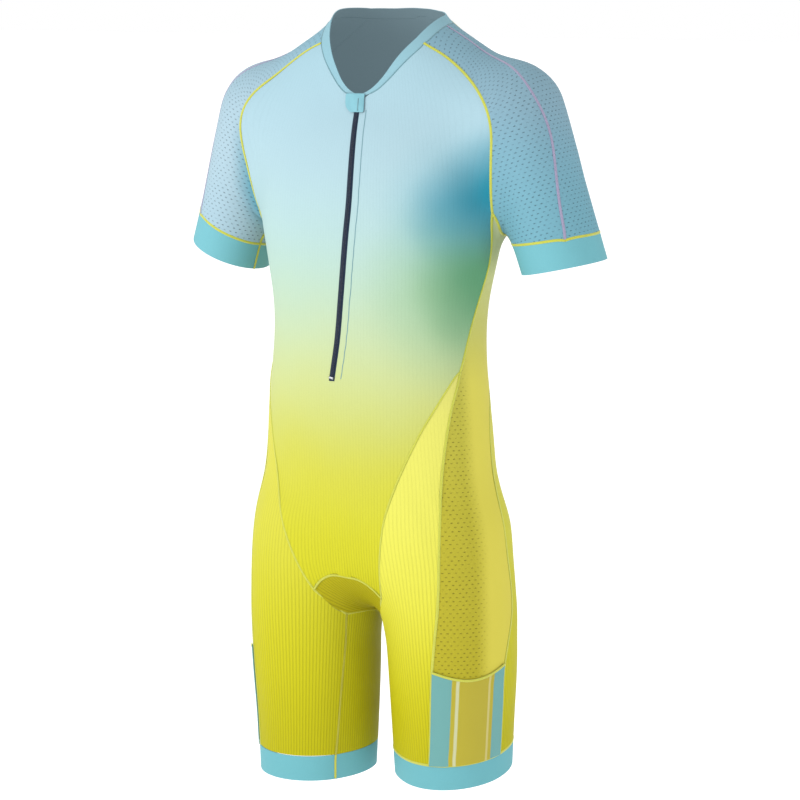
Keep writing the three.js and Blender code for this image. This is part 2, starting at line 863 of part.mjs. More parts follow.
// Side panels, from the armpit to the leg band, with a pocket over the lower end of each
function sidePanel({ side, label }) {
  const { armpitFront, armpitBack, sideFront, sideFrontLower, sideBack, sideBackLower, hemSide } =
    seams.get(side);
  const grid = patch({
    top: joined(armpitFront, [...armpitBack].reverse()),
    bottom: hemSide,
    left: joined(sideFront, sideFrontLower),
    right: joined(sideBack, sideBackLower),
    chart: roundAxis({ axis: side * LEG_AXIS, side }),
  });
  const pocketGrid = grid.slice(-ROWS.inseam - 1);
  const dip = 6;
  pocketGrid[0] = pocketGrid[0].map((point, i) => {
    const sag = dip * Math.sin((Math.PI * i) / (2 * ROWS.armpit));
    return settle(point.clone().setZ(point.z - sag));
  });
  return [
    wall(`side_panel_${label}`, PANEL_YELLOW, clearOfSeams(grid)),
    wall(`leg_pocket_${label}`, TEAL, clearOfSeams(pocketGrid), {
      lift: () => CLOTH + SEAM_GAP,
    }),
  ];
}

// Leg panels: both run to a point at the top
function bluntTip(grid) {
  const reach = 0.12;
  return [grid[0].map((point, i) => point.clone().lerp(grid[1][i], reach)), ...grid.slice(1)];
}

function legPanels({ side, label }) {
  const line = seams.get(side);
  const tip = (point, columns) => Array.from({ length: columns + 1 }, () => point);
  const frontPanel = patch({
    top: tip(line.legSeam[0], COLUMNS.legFront),
    bottom: line.hemFront,
    left: joined(line.legSeam, line.gussetSideFront, line.inseam),
    right: line.sideFrontLower,
    chart: roundAxis({ axis: side * LEG_AXIS, side }),
  });
  const backPanel = patch({
    top: tip(line.seatSeam[0], COLUMNS.legBack),
    bottom: line.hemBack,
    left: line.sideBackLower,
    right: joined(line.seatSeam, [...line.gussetSideBack], line.inseam),
    chart: roundAxis({ axis: side * LEG_AXIS, side, lowest: 0 }),
  });
  return [
    wall(`leg_front_${label}`, YELLOW, clearOfSeams(bluntTip(frontPanel))),
    wall(`leg_back_${label}`, YELLOW, clearOfSeams(bluntTip(backPanel))),
  ];
}

function gusset() {
  const [left, right] = [seams.get(1), seams.get(-1)];
  const across = (name) => [...[...right[name]].reverse(), ...left[name]];
  const grid = patch({
    top: across("gussetFront"),
    bottom: across("gussetBack"),
    left: joined(right.gussetSideFront, [...right.gussetSideBack].reverse()),
    right: joined(left.gussetSideFront, [...left.gussetSideBack].reverse()),
    chart: unrolledFlat,
  });
  return wall("crotch_gusset", YELLOW, clearOfSeams(grid));
}

// Sleeves, each in two halves that meet along the top of the arm and under it
function sleeve({ side, label }) {
  const line = seams.get(side);
  const frontHalf = patch({
    top: [...line.neckShoulderFront].reverse(),
    bottom: line.cuffFront,
    left: line.sleeveTop,
    right: joined(line.raglanFront, line.armpitFront, line.underarm),
    chart: roundSleeve({ side, lowest: -Math.PI / 2 }),
  });
  const backHalf = patch({
    top: line.neckShoulderBack,
    bottom: line.cuffBack,
    left: line.sleeveTop,
    right: joined(line.raglanBack, line.armpitBack, line.underarm),
    chart: roundSleeve({ side, lowest: -1.3 * Math.PI }),
  });
  return [
    wall(`sleeve_front_${label}`, STEEL_BLUE, clearOfSeams(frontHalf)),
    wall(`sleeve_back_${label}`, STEEL_BLUE, clearOfSeams(backHalf)),
  ];
}

// Cuffs and leg bands are closed rings, with a point at each seam point of the cloth above
function anglesThrough(stops) {
  return joined(
    ...stops.slice(1).map(({ angle, steps }, i) => {
      const from = stops[i].angle;
      return Array.from({ length: steps + 1 }, (_, k) => from + ((angle - from) * k) / steps);
    }),
  ).slice(0, -1);
}

function cuff({ side, label }) {
  const angles = anglesThrough([
    { angle: CUFF_ANGLES.top },
    { angle: CUFF_ANGLES.underarm, steps: COLUMNS.sleeveFront },
    { angle: CUFF_ANGLES.top + 360, steps: COLUMNS.sleeveBack },
  ]);
  const grid = [0, 0.5, 1].map((share) =>
    angles.map((angle) => {
      const seam = CUFF_ALONG + cuffSlant(side, angle);
      const edge = CUFF_ALONG + CUFF_DEPTH + edgeSlant(side, angle);
      return settle(onArm(side, angle, seam + share * (edge - seam)));
    }),
  );
  return wall(`arm_cuff_${label}`, TEAL, clearOfSeams(grid, ["top"]), { round: true });
}

function legBand({ side, label }) {
  const angles = anglesThrough([
    { angle: -62 },
    { angle: 19, steps: COLUMNS.legFront },
    { angle: 92, steps: 2 * ROWS.armpit },
    { angle: 298, steps: COLUMNS.legBack },
  ]);
  const grid = [0, 0.5, 1].map((share) =>
    angles.map((angle) => onHem(side, angle, share * BAND_DEPTH)));
  return wall(`leg_band_${label}`, TEAL, clearOfSeams(grid, ["top"]), { round: true });
}

// Collar, from one side of the zip round the neck to the other
function collar() {
  const sideLine = (side) => {
    const { neckFront, neckShoulderFront, neckShoulderBack, neckBack } = seams.get(side);
    return joined(neckFront, neckShoulderFront, neckShoulderBack, neckBack);
  };
  const seam = [...sideLine(-1), ...sideLine(1).reverse()];
  const rim = seam.map((point, i) => {
    const fromZip = Math.min(i, seam.length - 1 - i) / COLUMNS.half;
    const share = THREE.MathUtils.smoothstep(fromZip, 0, 1);
    const depth = THREE.MathUtils.lerp(COLLAR_FRONT_DEPTH, COLLAR_DEPTH, share);
    const before = seam[Math.max(i - 1, 0)];
    const after = seam[Math.min(i + 1, seam.length - 1)];
    const rise = new THREE.Vector3().crossVectors(after.clone().sub(before), slopeOf(point));
    if (rise.z < 0) rise.negate();
    return settle(point.clone().addScaledVector(rise.normalize(), depth));
  });
  return wall("collar", TEAL, clearOfSeams([rim, seam], ["bottom"]));
}

// Zip: a strip in the front's slot, with its slider at the top under a small cloth flap
function zip() {
  const columns = [
    { share: SEAM_GAP / ZIP_SLOT, lift: 0 },
    { share: 0.3, lift: ZIP_RELIEF },
    { share: 0.7, lift: ZIP_RELIEF },
    { share: 1 - SEAM_GAP / ZIP_SLOT, lift: 0 },
  ];
  const rows = frontGrid.slice(0, zipRows + 1);
  const grid = rows.map((row) =>
    columns.map(({ share }) => row[middleColumn].clone().lerp(row[middleColumn + 1], share)));
  const ends = clearOfSeams(clearOfSeams(grid, ["top", "bottom"]), ["bottom"]);
  return wall("zip", NAVY, ends, { lift: (row, column) => columns[column].lift });
}

const SLIDER = { width: 5, length: 8, thickness: 1.4, up: -99 };

function zipSlider() {
  const outline = new THREE.Shape()
    .moveTo(-SLIDER.width / 2, -SLIDER.length / 2)
    .lineTo(SLIDER.width / 2, -SLIDER.length / 2)
    .lineTo(SLIDER.width / 2, SLIDER.length / 4)
    .lineTo(0, SLIDER.length / 2)
    .lineTo(-SLIDER.width / 2, SLIDER.length / 4);
  outline.closePath();
  const geometry = new THREE.ExtrudeGeometry(outline, {
    depth: SLIDER.thickness,
    bevelEnabled: false,
  });
  const mesh = new THREE.Mesh(
    geometry,
    new THREE.MeshStandardMaterial({ color: SILVER, roughness: 0.4, metalness: 0.8 }),
  );
  mesh.name = "zip_slider";
  const centre = settle(onTrunk(1, [0, -75, SLIDER.up]));
  const out = slopeOf(centre).normalize();
  mesh.position.copy(pose(centre.clone().addScaledVector(out, ZIP_RELIEF + SEAM_GAP)));
  const across = new THREE.Vector3(1, 0, 0).addScaledVector(out, -out.x).normalize();
  const upward = new THREE.Vector3().crossVectors(out, across);
  mesh.quaternion.setFromRotationMatrix(new THREE.Matrix4().makeBasis(across, upward, out));
  return mesh;
}

const FLAP_COLUMNS = [-17, -12, -8.5, -5.5, -3.2, 0, 3.2, 5.5, 9];
const FLAP_ROWS = [12, 8, 4.6, 0, -4.6, -8, -13];

function zipFlap() {
  const corner = 8;
  const grid = FLAP_ROWS.map((rise) => {
    const fall = Math.max(0, -rise / 13) ** 2;
    return FLAP_COLUMNS.map((across) => {
      const rounded = across < 0 ? across * (1 - (corner / 17) * fall) : across;
      return settle(onTrunk(1, [rounded, -75, SLIDER.up + rise]));
    });
  });
  const cover = SLIDER.thickness + ZIP_RELIEF + SEAM_GAP;
  const lift = (row, column) => {
    const across = 1 - THREE.MathUtils.smoothstep(Math.abs(FLAP_COLUMNS[column]), 3.2, 8.5);
    const down = 1 - THREE.MathUtils.smoothstep(Math.abs(FLAP_ROWS[row]), 4.6, 12);
    return CLOTH + 0.5 + ZIP_RELIEF + cover * across * down;
  };
  return wall("zip_flap", TEAL, grid, { lift });
}

const suit = new THREE.Group();
suit.add(front, back, gusset(), collar(), zip(), zipSlider(), zipFlap());
for (const place of SIDES) {
  suit.add(...sidePanel(place), ...legPanels(place), ...sleeve(place));
  suit.add(cuff(place), legBand(place));
}

export default suit;
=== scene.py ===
"""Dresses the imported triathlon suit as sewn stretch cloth: knit, raised seams, zip and bands."""

from __future__ import annotations

import json
import logging
import math
from dataclasses import dataclass, field
from enum import Enum

import bpy
import numpy as np
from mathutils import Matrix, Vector
from mathutils.bvhtree import BVHTree
from mathutils.kdtree import KDTree

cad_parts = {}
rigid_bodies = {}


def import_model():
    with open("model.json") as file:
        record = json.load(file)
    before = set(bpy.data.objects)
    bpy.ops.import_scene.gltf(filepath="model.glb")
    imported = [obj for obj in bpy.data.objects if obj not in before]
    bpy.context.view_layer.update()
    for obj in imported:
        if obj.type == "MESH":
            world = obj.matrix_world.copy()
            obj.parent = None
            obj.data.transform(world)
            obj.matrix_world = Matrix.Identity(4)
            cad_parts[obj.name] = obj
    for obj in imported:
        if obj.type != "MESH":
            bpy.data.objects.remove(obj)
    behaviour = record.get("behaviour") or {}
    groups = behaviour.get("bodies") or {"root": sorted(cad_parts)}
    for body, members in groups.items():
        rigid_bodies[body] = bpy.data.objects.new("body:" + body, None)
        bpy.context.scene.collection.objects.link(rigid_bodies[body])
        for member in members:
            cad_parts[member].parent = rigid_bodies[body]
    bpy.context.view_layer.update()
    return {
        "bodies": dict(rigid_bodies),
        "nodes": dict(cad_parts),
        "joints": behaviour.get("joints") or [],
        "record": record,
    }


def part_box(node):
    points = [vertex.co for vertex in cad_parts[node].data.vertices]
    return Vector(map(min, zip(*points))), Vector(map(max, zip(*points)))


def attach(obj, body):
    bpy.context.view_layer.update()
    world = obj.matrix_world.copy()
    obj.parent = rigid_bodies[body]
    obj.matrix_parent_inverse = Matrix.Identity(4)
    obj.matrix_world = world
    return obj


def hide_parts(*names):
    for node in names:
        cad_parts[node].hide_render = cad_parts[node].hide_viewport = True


log = logging.getLogger("triathlon_suit")

Array = np.ndarray
Socket = bpy.types.NodeSocket
Material = bpy.types.Material

MM = 0.001
SIDES = {"left": 1.0, "right": -1.0}
# How many times brighter than its dye the front of the cloth looks under the studio's light.
STUDIO_GAIN = 1.75
# Each kind of piece as it is cut: its flat width and length in metres.
CUTS = {
    "front": (0.40, 0.68),
    "back": (0.40, 0.72),
    "crotch_gusset": (0.06, 0.19),
    "collar": (0.46, 0.018),
    "side_panel": (0.13, 0.70),
    "leg_front": (0.17, 0.49),
    "leg_back": (0.31, 0.45),
    "leg_band": (0.47, 0.031),
    "sleeve_front": (0.15, 0.33),
    "sleeve_back": (0.23, 0.33),
    "arm_cuff": (0.335, 0.037),
    "leg_pocket": (0.10, 0.135),
    "zip_flap": (0.036, 0.018),
}


class Knit(Enum):
    """How the face of a cloth piece is knitted."""

    RIBBED = "ribbed"
    BIAS_RIBBED = "bias_ribbed"
    DIMPLED = "dimpled"
    SMOOTH = "smooth"


class Stitch(Enum):
    """The thread that a seam is sewn with."""

    YELLOW = "yellow"
    OLIVE = "olive"
    LILAC = "lilac"
    PLAIN = "plain"


# Lines and triangles


def unit(rows: Array) -> Array:
    """Returns the rows, each made one long."""
    return rows / np.maximum(np.linalg.norm(rows, axis=1, keepdims=True), 1e-12)


def crossed(corners: Array) -> Array:
    """Returns each triangle's normal, as long as twice its area, from its three corners."""
    return np.cross(corners[:, 1] - corners[:, 0], corners[:, 2] - corners[:, 0])


def sides_of(faces: Array) -> Array:
    """Returns the triangles' directed sides: all the first ones, then the second, then the third."""
    return np.concatenate([faces[:, ends] for ends in ([0, 1], [1, 2], [2, 0])])


def at_corners(faces: Array, values: Array, count: int) -> Array:
    """Adds up the triangles' values at their corners.

    Args:
        faces: the triangles.
        values: one row for each triangle.
        count: how many vertices there are.

    Returns:
        One row for each vertex.
    """
    total = np.zeros((count, values.shape[1]))
    for place in range(3):
        np.add.at(total, faces[:, place], values)
    return total


def grouped(a: Array, b: Array, count: int) -> Array:
    """Gives all things that are linked, directly or through others, one number.

    Args:
        a: the thing at the start of each link.
        b: the thing at its end.
        count: how many things there are.

    Returns:
        The number of each thing's group.
    """
    group = np.arange(count)
    while True:
        before = group.copy()
        lowest = np.minimum(group[a], group[b])
        np.minimum.at(group, a, lowest)
        np.minimum.at(group, b, lowest)
        group = group[group]
        if (group == before).all():
            return group


def pair(a: int, b: int) -> tuple[int, int]:
    """Returns an edge's two vertices, the lower one first."""
    return (a, b) if a < b else (b, a)


def chains(edges: Array) -> list[list[int]]:
    """Strings loose edges into lines.

    Args:
        edges: one row of two vertex numbers for each edge.

    Returns:
        Lists of vertex numbers, one for each line. A ring's first vertex is also its last.
    """
    near: dict[int, list[int]] = {}
    for a, b in edges.tolist():
        near.setdefault(a, []).append(b)
        near.setdefault(b, []).append(a)
    left = {pair(*ends) for ends in edges.tolist()}
    lines = []
    for start in [vertex for vertex in sorted(near) if len(near[vertex]) != 2] + sorted(near):
        for first in sorted(near[start]):
            if pair(start, first) not in left:
                continue
            line = [start, first]
            left.discard(pair(start, first))
            while len(near[line[-1]]) == 2:
                onward = [vertex for vertex in near[line[-1]] if pair(line[-1], vertex) in left]
                if not onward:
                    break
                left.discard(pair(line[-1], onward[0]))
                line.append(onward[0])
            lines.append(line)
    return lines


def eased(points: Array, passes: int) -> Array:
    """Smooths a line.

    Args:
        points: the line.
        passes: how many times each point moves halfway to the middle of its neighbours.

    Returns:
        The smoother line, with the same ends.
    """
    line = points.copy()
    for _ in range(passes):
        line[1:-1] = line[1:-1] / 2 + (line[:-2] + line[2:]) / 4
    return line


def lengths_of(line: Array) -> Array:
    """Returns how far along the line each of its points is."""
    return np.append(0, np.cumsum(np.linalg.norm(np.diff(line, axis=0), axis=1)))


def read_off(rows: Array, lengths: Array, where: Array) -> Array:
    """Returns the line's rows, which stand at lengths, as they are between them at where."""
    return np.stack([np.interp(where, lengths, rows[:, k]) for k in range(3)], 1)


def tube_faces(rings: int, sides: int, capped: bool = True) -> Array:
    """Joins rings of points into a tube.

    Args:
        rings: how many rings there are.
        sides: how many points each has, counterclockwise when the tube comes towards the eye.
        capped: whether both ends are closed.

    Returns:
        The triangles, which face outwards.
    """
    i, j = (grid.ravel() for grid in np.meshgrid(np.arange(rings - 1), np.arange(sides), indexing="ij"))
    a, b = i * sides + j, i * sides + (j + 1) % sides
    faces = [np.stack([a, b, b + sides], 1), np.stack([a, b + sides, a + sides], 1)]
    if capped:
        k = np.arange(1, sides - 1)
        faces += [np.stack([0 * k, k + 1, k], 1), np.stack([0 * k, k, k + 1], 1) + (rings - 1) * sides]
    return np.concatenate(faces)


@dataclass
class Sheet:
    """A surface of labelled triangles.

    points: one row for each vertex, in metres.
    faces: one row of three vertex numbers for each triangle.
    labels: the number of the cloth piece that each triangle belongs to.
    """

    points: Array
    faces: Array
    labels: Array

    @classmethod
    def single(cls, points: Array, faces: Array) -> Sheet:
        """Returns a surface of one piece, without the points that no triangle uses."""
        used, back = np.unique(faces, return_inverse=True)
        return cls(points[used], back.reshape(-1, 3), np.zeros(len(faces), int))

    def edges(self) -> tuple[Array, Array, Array]:
        """Finds the edges of the surface.

        Returns:
            Each edge's two vertices in order, the first face beside it, and the second, or -1 on a free edge.
        """
        sides = np.sort(sides_of(self.faces), axis=1)
        owner = np.tile(np.arange(len(self.faces)), 3)
        order = np.lexsort((owner, sides[:, 1], sides[:, 0]))
        sides, owner = sides[order], owner[order]
        start = np.flatnonzero(np.append(True, (sides[1:] != sides[:-1]).any(axis=1)))
        count = np.diff(np.append(start, len(sides)))
        second = np.where(count > 1, owner[np.minimum(start + 1, len(owner) - 1)], -1)
        return sides[start], owner[start], second

    def normals(self) -> Array:
        """Returns the unit normal at each vertex, weighted by the area of the faces round it."""
        return unit(at_corners(self.faces, crossed(self.points[self.faces]), len(self.points)))

    def total(self, faces: Array) -> float:
        """Returns the area of some triangles between the points, in square metres."""
        return float(np.linalg.norm(crossed(self.points[faces]), axis=1).sum() / 2)

    def area(self, label: int = 0) -> float:
        """Returns the area of one cloth piece in square metres."""
        return self.total(self.faces[self.labels == label])

    def nearest(self, guesses: Array, label: int | None = None) -> tuple[Array, Array]:
        """Finds the places of the surface nearest to some points.

        Args:
            guesses: the points, in metres.
            label: the one cloth piece to look on.

        Returns:
            The places, and the surface's normals there.
        """
        faces = self.faces if label is None else self.faces[self.labels == label]
        tree = BVHTree.FromPolygons(self.points.tolist(), faces.tolist())
        found = [tree.find_nearest(Vector(guess)) for guess in guesses]
        return np.array([hit[0] for hit in found]), np.array([hit[1] for hit in found])

    def filled(self, most: float) -> Sheet:
        """Closes the cracks left where pieces meet.

        Args:
            most: the longest outline of a crack, in metres.

        Returns:
            The surface with a few more triangles.
        """
        edge, first, second = self.edges()
        free = second < 0
        owner = {tuple(ends): face for ends, face in zip(edge[free].tolist(), first[free].tolist())}
        faces, labels = [self.faces], [self.labels]
        for line in chains(edge[free]):
            if line[0] != line[-1] or lengths_of(self.points[line])[-1] > most:
                continue
            ring = line[:-1]
            corners = self.faces[owner[pair(*ring[:2])]].tolist()
            if corners[(corners.index(ring[0]) + 1) % 3] == ring[1]:
                ring = ring[::-1]
            owners = [owner[pair(*ends)] for ends in zip(line, line[1:])]
            turns = [ring[start:] + ring[:start] for start in range(len(ring))]
            fans = [np.array([[turn[0], b, c] for b, c in zip(turn[1:], turn[2:])]) for turn in turns]
            faces.append(min(fans, key=self.total))
            labels.append(np.full(len(ring) - 2, np.bincount(self.labels[owners]).argmax()))
        return Sheet(self.points, np.concatenate(faces), np.concatenate(labels))

    def gathered(self, edge: Array) -> tuple[Array, Array, Array]:
        """Adds up what edges bring to the vertices at their ends.

        Args:
            edge: each edge's two vertices.

        Returns:
            For each vertex, the sum of its neighbours' points, their number, and the length of its edges.
        """
        count = len(self.points)
        total, number, length = np.zeros((count, 3)), np.zeros(count), np.zeros(count)
        own = np.linalg.norm(self.points[edge[:, 0]] - self.points[edge[:, 1]], axis=1)
        for a, b in ((0, 1), (1, 0)):
            np.add.at(total, edge[:, a], self.points[edge[:, b]])
            np.add.at(number, edge[:, a], 1)
            np.add.at(length, edge[:, a], own)
        return total, number, length

    def smoothed(self, times: int = 1) -> Sheet:
        """Divides each triangle in four and rounds the surface, by Loop's rule.

        Args:
            times: how many times this is done.

        Returns:
            The finer sheet. Free edges stay smooth lines, and their sharp corners stay where they are.
        """
        count = len(self.points)
        edge, first, second = self.edges()
        free = second < 0
        opposite = np.zeros((len(edge), 3))
        for owner in (first, second):
            face = self.faces[owner[~free]]
            opposite[~free] += self.points[face].sum(axis=1) - self.points[edge[~free]].sum(axis=1)
        ends = self.points[edge].sum(axis=1)
        middle = np.where(free[:, None], ends / 2, ends * 3 / 8 + opposite / 8)

        around, valence, _ = self.gathered(edge)
        n = np.maximum(valence, 3)
        weight = (5 / 8 - (3 / 8 + np.cos(2 * np.pi / n) / 4) ** 2) / n
        moved = self.points * (1 - n * weight)[:, None] + around * weight[:, None]
        rim, rim_count, reach = self.gathered(edge[free])
        moved[rim_count > 0] = self.points[rim_count > 0]
        plain = np.flatnonzero(rim_count == 2)
        bend = rim[plain] / 2 - self.points[plain]
        sharp = 0.2  # A corner bends by more than this share of its two edges.
        gentle = np.linalg.norm(bend, axis=1) < sharp * reach[plain]
        moved[plain[gentle]] += bend[gentle] / 4

        keys = edge[:, 0] * count + edge[:, 1]
        a, b, c = self.faces.T
        ab, bc, ca = (
            count + np.searchsorted(keys, np.minimum(p, q) * count + np.maximum(p, q))
            for p, q in ((a, b), (b, c), (c, a))
        )
        parts = [(a, ab, ca), (ab, b, bc), (ca, bc, c), (ab, bc, ca)]
        faces = np.concatenate([np.stack(part, axis=1) for part in parts])
        finer = Sheet(np.concatenate([moved, middle]), faces, np.tile(self.labels, 4))
        return finer if times == 1 else finer.smoothed(times - 1)


# Reading the CAD walls

# Repeated points of a wall agree to within one part in this many of a metre.
WELD = 1e5
# The walls' usual thickness and how near to it a rim's short side is, in millimetres.
THICK, THICK_NEAR = 1.2, 0.02
# A rim's upright side is shorter than this, in millimetres, and its cosines to its ends' normals add up to more.
UPRIGHT_LONGEST, UPRIGHT = 1.7, 0.9
# Two triangles of one sheet bend by less than this, in degrees.
SHEET_BEND = 75
# The longest outline of a crack between sewn pieces, in metres.
CRACK = 0.15


def read_wall(node: bpy.types.Object) -> tuple[Array, Array]:
    """Reads a CAD node's closed wall.

    Args:
        node: the CAD object.

    Returns:
        Its points in metres with repeated ones joined, and its triangles.
    """
    mesh = node.data
    points = np.empty(len(mesh.vertices) * 3, np.float32)
    mesh.vertices.foreach_get("co", points)
    points = points.reshape(-1, 3).astype(float)
    corners = np.array([polygon.vertices[:] for polygon in mesh.polygons])
    rounded = np.round(points * WELD).astype(int)
    _, first, back = np.unique(rounded, axis=0, return_index=True, return_inverse=True)
    return points[first], back.reshape(-1)[corners]


def outer_face(points: Array, faces: Array, inside: Array, narrow: bool) -> Array:
    """Picks the outer sheet of a thin closed wall.

    Args:
        points: the wall's points in metres.
        faces: the wall's triangles.
        inside: for each triangle, a point in the hollow that the wall is wrapped round.
        narrow: whether the wall's own quads may be as short as the wall is thick.

    Returns:
        The triangles of the outer sheet.
    """
    corner = points[faces]
    flat = crossed(corner)
    at_vertex = unit(at_corners(faces, flat, len(points)))
    rim = np.zeros(len(faces), bool)
    for start, end in ((0, 1), (1, 2), (2, 0)):
        a, b = faces[:, start], faces[:, end]
        length = np.linalg.norm(points[b] - points[a], axis=1)
        along = unit(points[b] - points[a])
        upright = np.abs((along * at_vertex[a]).sum(1)) + np.abs((along * at_vertex[b]).sum(1))
        rim |= (length < UPRIGHT_LONGEST * MM) & (upright > UPRIGHT)
        if not narrow:
            rim |= np.abs(length - THICK * MM) < THICK_NEAR * MM

    kept = np.flatnonzero(~rim)
    sides, owner = np.sort(sides_of(faces[kept]), axis=1), np.tile(kept, 3)
    order = np.lexsort((sides[:, 1], sides[:, 0]))
    sides, owner = sides[order], owner[order]
    same = (sides[1:] == sides[:-1]).all(axis=1)
    a, b = owner[:-1][same], owner[1:][same]
    normal = unit(flat)
    level = (normal[a] * normal[b]).sum(1) > math.cos(math.radians(SHEET_BEND))
    group = grouped(a[level], b[level], len(faces))

    names, sizes = np.unique(group[kept], return_counts=True)
    two = names[np.argsort(sizes)[-2:]]
    outwards = (flat * (corner.mean(axis=1) - inside)).sum(axis=1)
    outer, inner = sorted(two, key=lambda name: -outwards[group == name].sum())
    state = np.where(rim, 0, np.where(group == outer, 1, np.where(group == inner, -1, 0)))
    while True:
        beside = {}
        for kind in (1, -1):
            touched = np.zeros(len(points), bool)
            touched[faces[state == kind]] = True
            beside[kind] = touched[faces].any(axis=1)
        loose = (state == 0) & ~rim & (beside[1] != beside[-1])
        if not loose.any():
            return faces[state == 1]
        state[loose] = np.where(beside[1][loose], 1, -1)


def joined(parts: list[tuple[Array, Array]], reach: float) -> Sheet:
    """Sews separate outer sheets into one surface.

    Args:
        parts: each piece's points and triangles.
        reach: points of the pieces that are nearer than this, in metres, become one.

    Returns:
        The sewn surface, whose labels are places in parts.
    """
    starts = np.cumsum([0, *(len(points) for points, _ in parts)])
    points = np.concatenate([points for points, _ in parts])
    faces = np.concatenate([faces + start for (_, faces), start in zip(parts, starts)])
    labels = np.concatenate([np.full(len(faces), place) for place, (_, faces) in enumerate(parts)])
    used = np.unique(faces)
    tree = KDTree(len(used))
    for place, vertex in enumerate(used):
        tree.insert(points[vertex], place)
    tree.balance()
    near = [
        (place, other)
        for place, vertex in enumerate(used)
        for _, other, _ in tree.find_range(points[vertex], reach)
        if other > place
    ]
    _, merged = np.unique(grouped(*np.array(near).T, len(used)), return_inverse=True)
    total = np.zeros((merged.max() + 1, 3))
    np.add.at(total, merged, points[used])
    total /= np.bincount(merged)[:, None]
    lookup = np.zeros(len(points), int)
    lookup[used] = merged
    faces = lookup[faces]
    whole = (faces[:, 0] != faces[:, 1]) & (faces[:, 1] != faces[:, 2]) & (faces[:, 2] != faces[:, 0])
    return Sheet(total, faces[whole], labels[whole]).filled(CRACK)


# Charts: where a point lies across and along the cloth


def round_tube(angle: Array, facing: float, radius: float) -> Array:
    """Returns how far round a tube each angle lies from the facing one, for angles in degrees."""
    return radius * np.radians((angle - facing + 180) % 360 - 180)


@dataclass(frozen=True)
class Chart:
    """Turns points into places on the cloth, in millimetres across and along it. This one is the trunk's front.

    side: 1 on the wearer's left, -1 on the right and 0 in the middle.
    facing: the direction that the chart starts from, in degrees.
    radius: the tube's, at which the chart is true to width.
    depth: how far behind the origin the middle of the trunk is.
    ends: the lowest and the highest place on the middle line.
    """

    side: float
    facing: float = 0.0
    radius: float = 118.0
    depth: float = 2.0
    ends: tuple[float, float] = (-600.0, -60.0)

    def centre(self, points: Array) -> Array:
        """Returns the middle of the hollow beside each point, in millimetres."""
        up = np.clip(points[:, 2], *self.ends)
        return np.stack([0 * up, 0 * up + self.depth, up], 1)

    def place(self, points: Array) -> tuple[Array, Array]:
        """Charts points.

        Args:
            points: one row for each, in millimetres.

        Returns:
            Each point's place across the cloth and along it.
        """
        return self.radius * np.arctan2(points[:, 0], self.depth - points[:, 1]), points[:, 2]


@dataclass(frozen=True)
class BackChart(Chart):
    """The chart of the back, which starts at the spine."""

    def place(self, points: Array) -> tuple[Array, Array]:
        """Returns each point's place across and along the back."""
        return self.radius * np.arctan2(points[:, 0], points[:, 1] - self.depth), points[:, 2]


@dataclass(frozen=True)
class LegChart(Chart):
    """The chart of a leg or a side panel, whose angles go round from the front to the outside.

    outwards: how far out the middle line is at some heights, as pairs of a height and a distance.
    splay: how far forwards or back the legs stand, in degrees from the crotch down.
    crotch: the crotch's height.
    """

    radius: float = 80.0
    outwards: tuple[tuple[float, float], ...] = ((-650.0, 85.0), (-430.0, 68.0), (-300.0, 60.0))
    splay: float = 3.4
    crotch: float = -540.0

    def centre(self, points: Array) -> Array:
        """Finds the middle of the leg, or of the side of the trunk.

        Args:
            points: one row for each, in millimetres.

        Returns:
            The middle beside each point.
        """
        up = points[:, 2]
        out = self.side * np.interp(up, *zip(*self.outwards))
        back = self.side * math.tan(math.radians(self.splay)) * np.clip(self.crotch - up, 0, None)
        return np.stack([out, back, up], 1)

    def angle(self, points: Array) -> Array:
        """Returns the direction of each point from the middle, in degrees."""
        arm = points - self.centre(points)
        return np.degrees(np.arctan2(self.side * arm[:, 0], -arm[:, 1]))

    def place(self, points: Array) -> tuple[Array, Array]:
        """Returns each point's place across and along the leg."""
        return round_tube(self.angle(points), self.facing, self.radius), points[:, 2]


@dataclass(frozen=True)
class SleeveChart(Chart):
    """The chart of a sleeve, whose angles go round from the outside to the front.

    start and end: the middle of the arm at the shoulder and at the hem, in millimetres.
    bend: the radius of the middle line where it turns from the arm to the neck.
    arc: the radius at which the chart is true to length there.
    ends: the first and the last place on the middle line, as lengths down from the shoulder.
    """

    radius: float = 52.0
    ends: tuple[float, float] = (-60.0, 230.0)
    start: tuple[float, float, float] = (174.0, 10.0, -104.0)
    end: tuple[float, float, float] = (246.0, 22.0, -330.0)
    bend: float = 50.0
    arc: float = 85.0

    def axis(self) -> tuple[Array, Array, Array, Array]:
        """Works out the arm's directions.

        Returns:
            The top of the arm, and the directions along it, to the outside and to the front.
        """
        mirror = np.array([self.side, 1.0, 1.0])
        top, along = np.array(self.start), np.array(self.end) - np.array(self.start)
        along /= np.linalg.norm(along)
        outward = np.array([-along[2], 0.0, along[0]])
        outward /= np.linalg.norm(outward)
        forward = np.cross(along, outward)
        return top * mirror, along * mirror, outward * mirror, forward / np.linalg.norm(forward) * mirror

    def centre(self, points: Array) -> Array:
        """Returns the middle of the arm beside each point."""
        top, along, _, _ = self.axis()
        return top + np.clip((points - top) @ along, *self.ends)[:, None] * along

    def place(self, points: Array) -> tuple[Array, Array]:
        """Charts points of the arm and of the shoulder, round which the middle line bends to the neck.

        Args:
            points: one row for each, in millimetres.

        Returns:
            Each point's place across the sleeve and along it.
        """
        top, along, outward, forward = self.axis()
        arm = points - top
        down, out = arm @ along, arm @ outward + self.bend
        turn = np.where(down > 0, 0, np.minimum(np.arctan2(-down, out), math.pi / 2))
        reach = np.where(down > 0, out, np.where(out > 0, np.hypot(down, out), -down))
        past = np.where((down <= 0) & (out < 0), -out, 0)
        angle = np.degrees(np.arctan2(arm @ forward, reach - self.bend))
        return round_tube(angle, self.facing, self.radius), np.maximum(down, 0) - self.arc * turn - past


# Materials


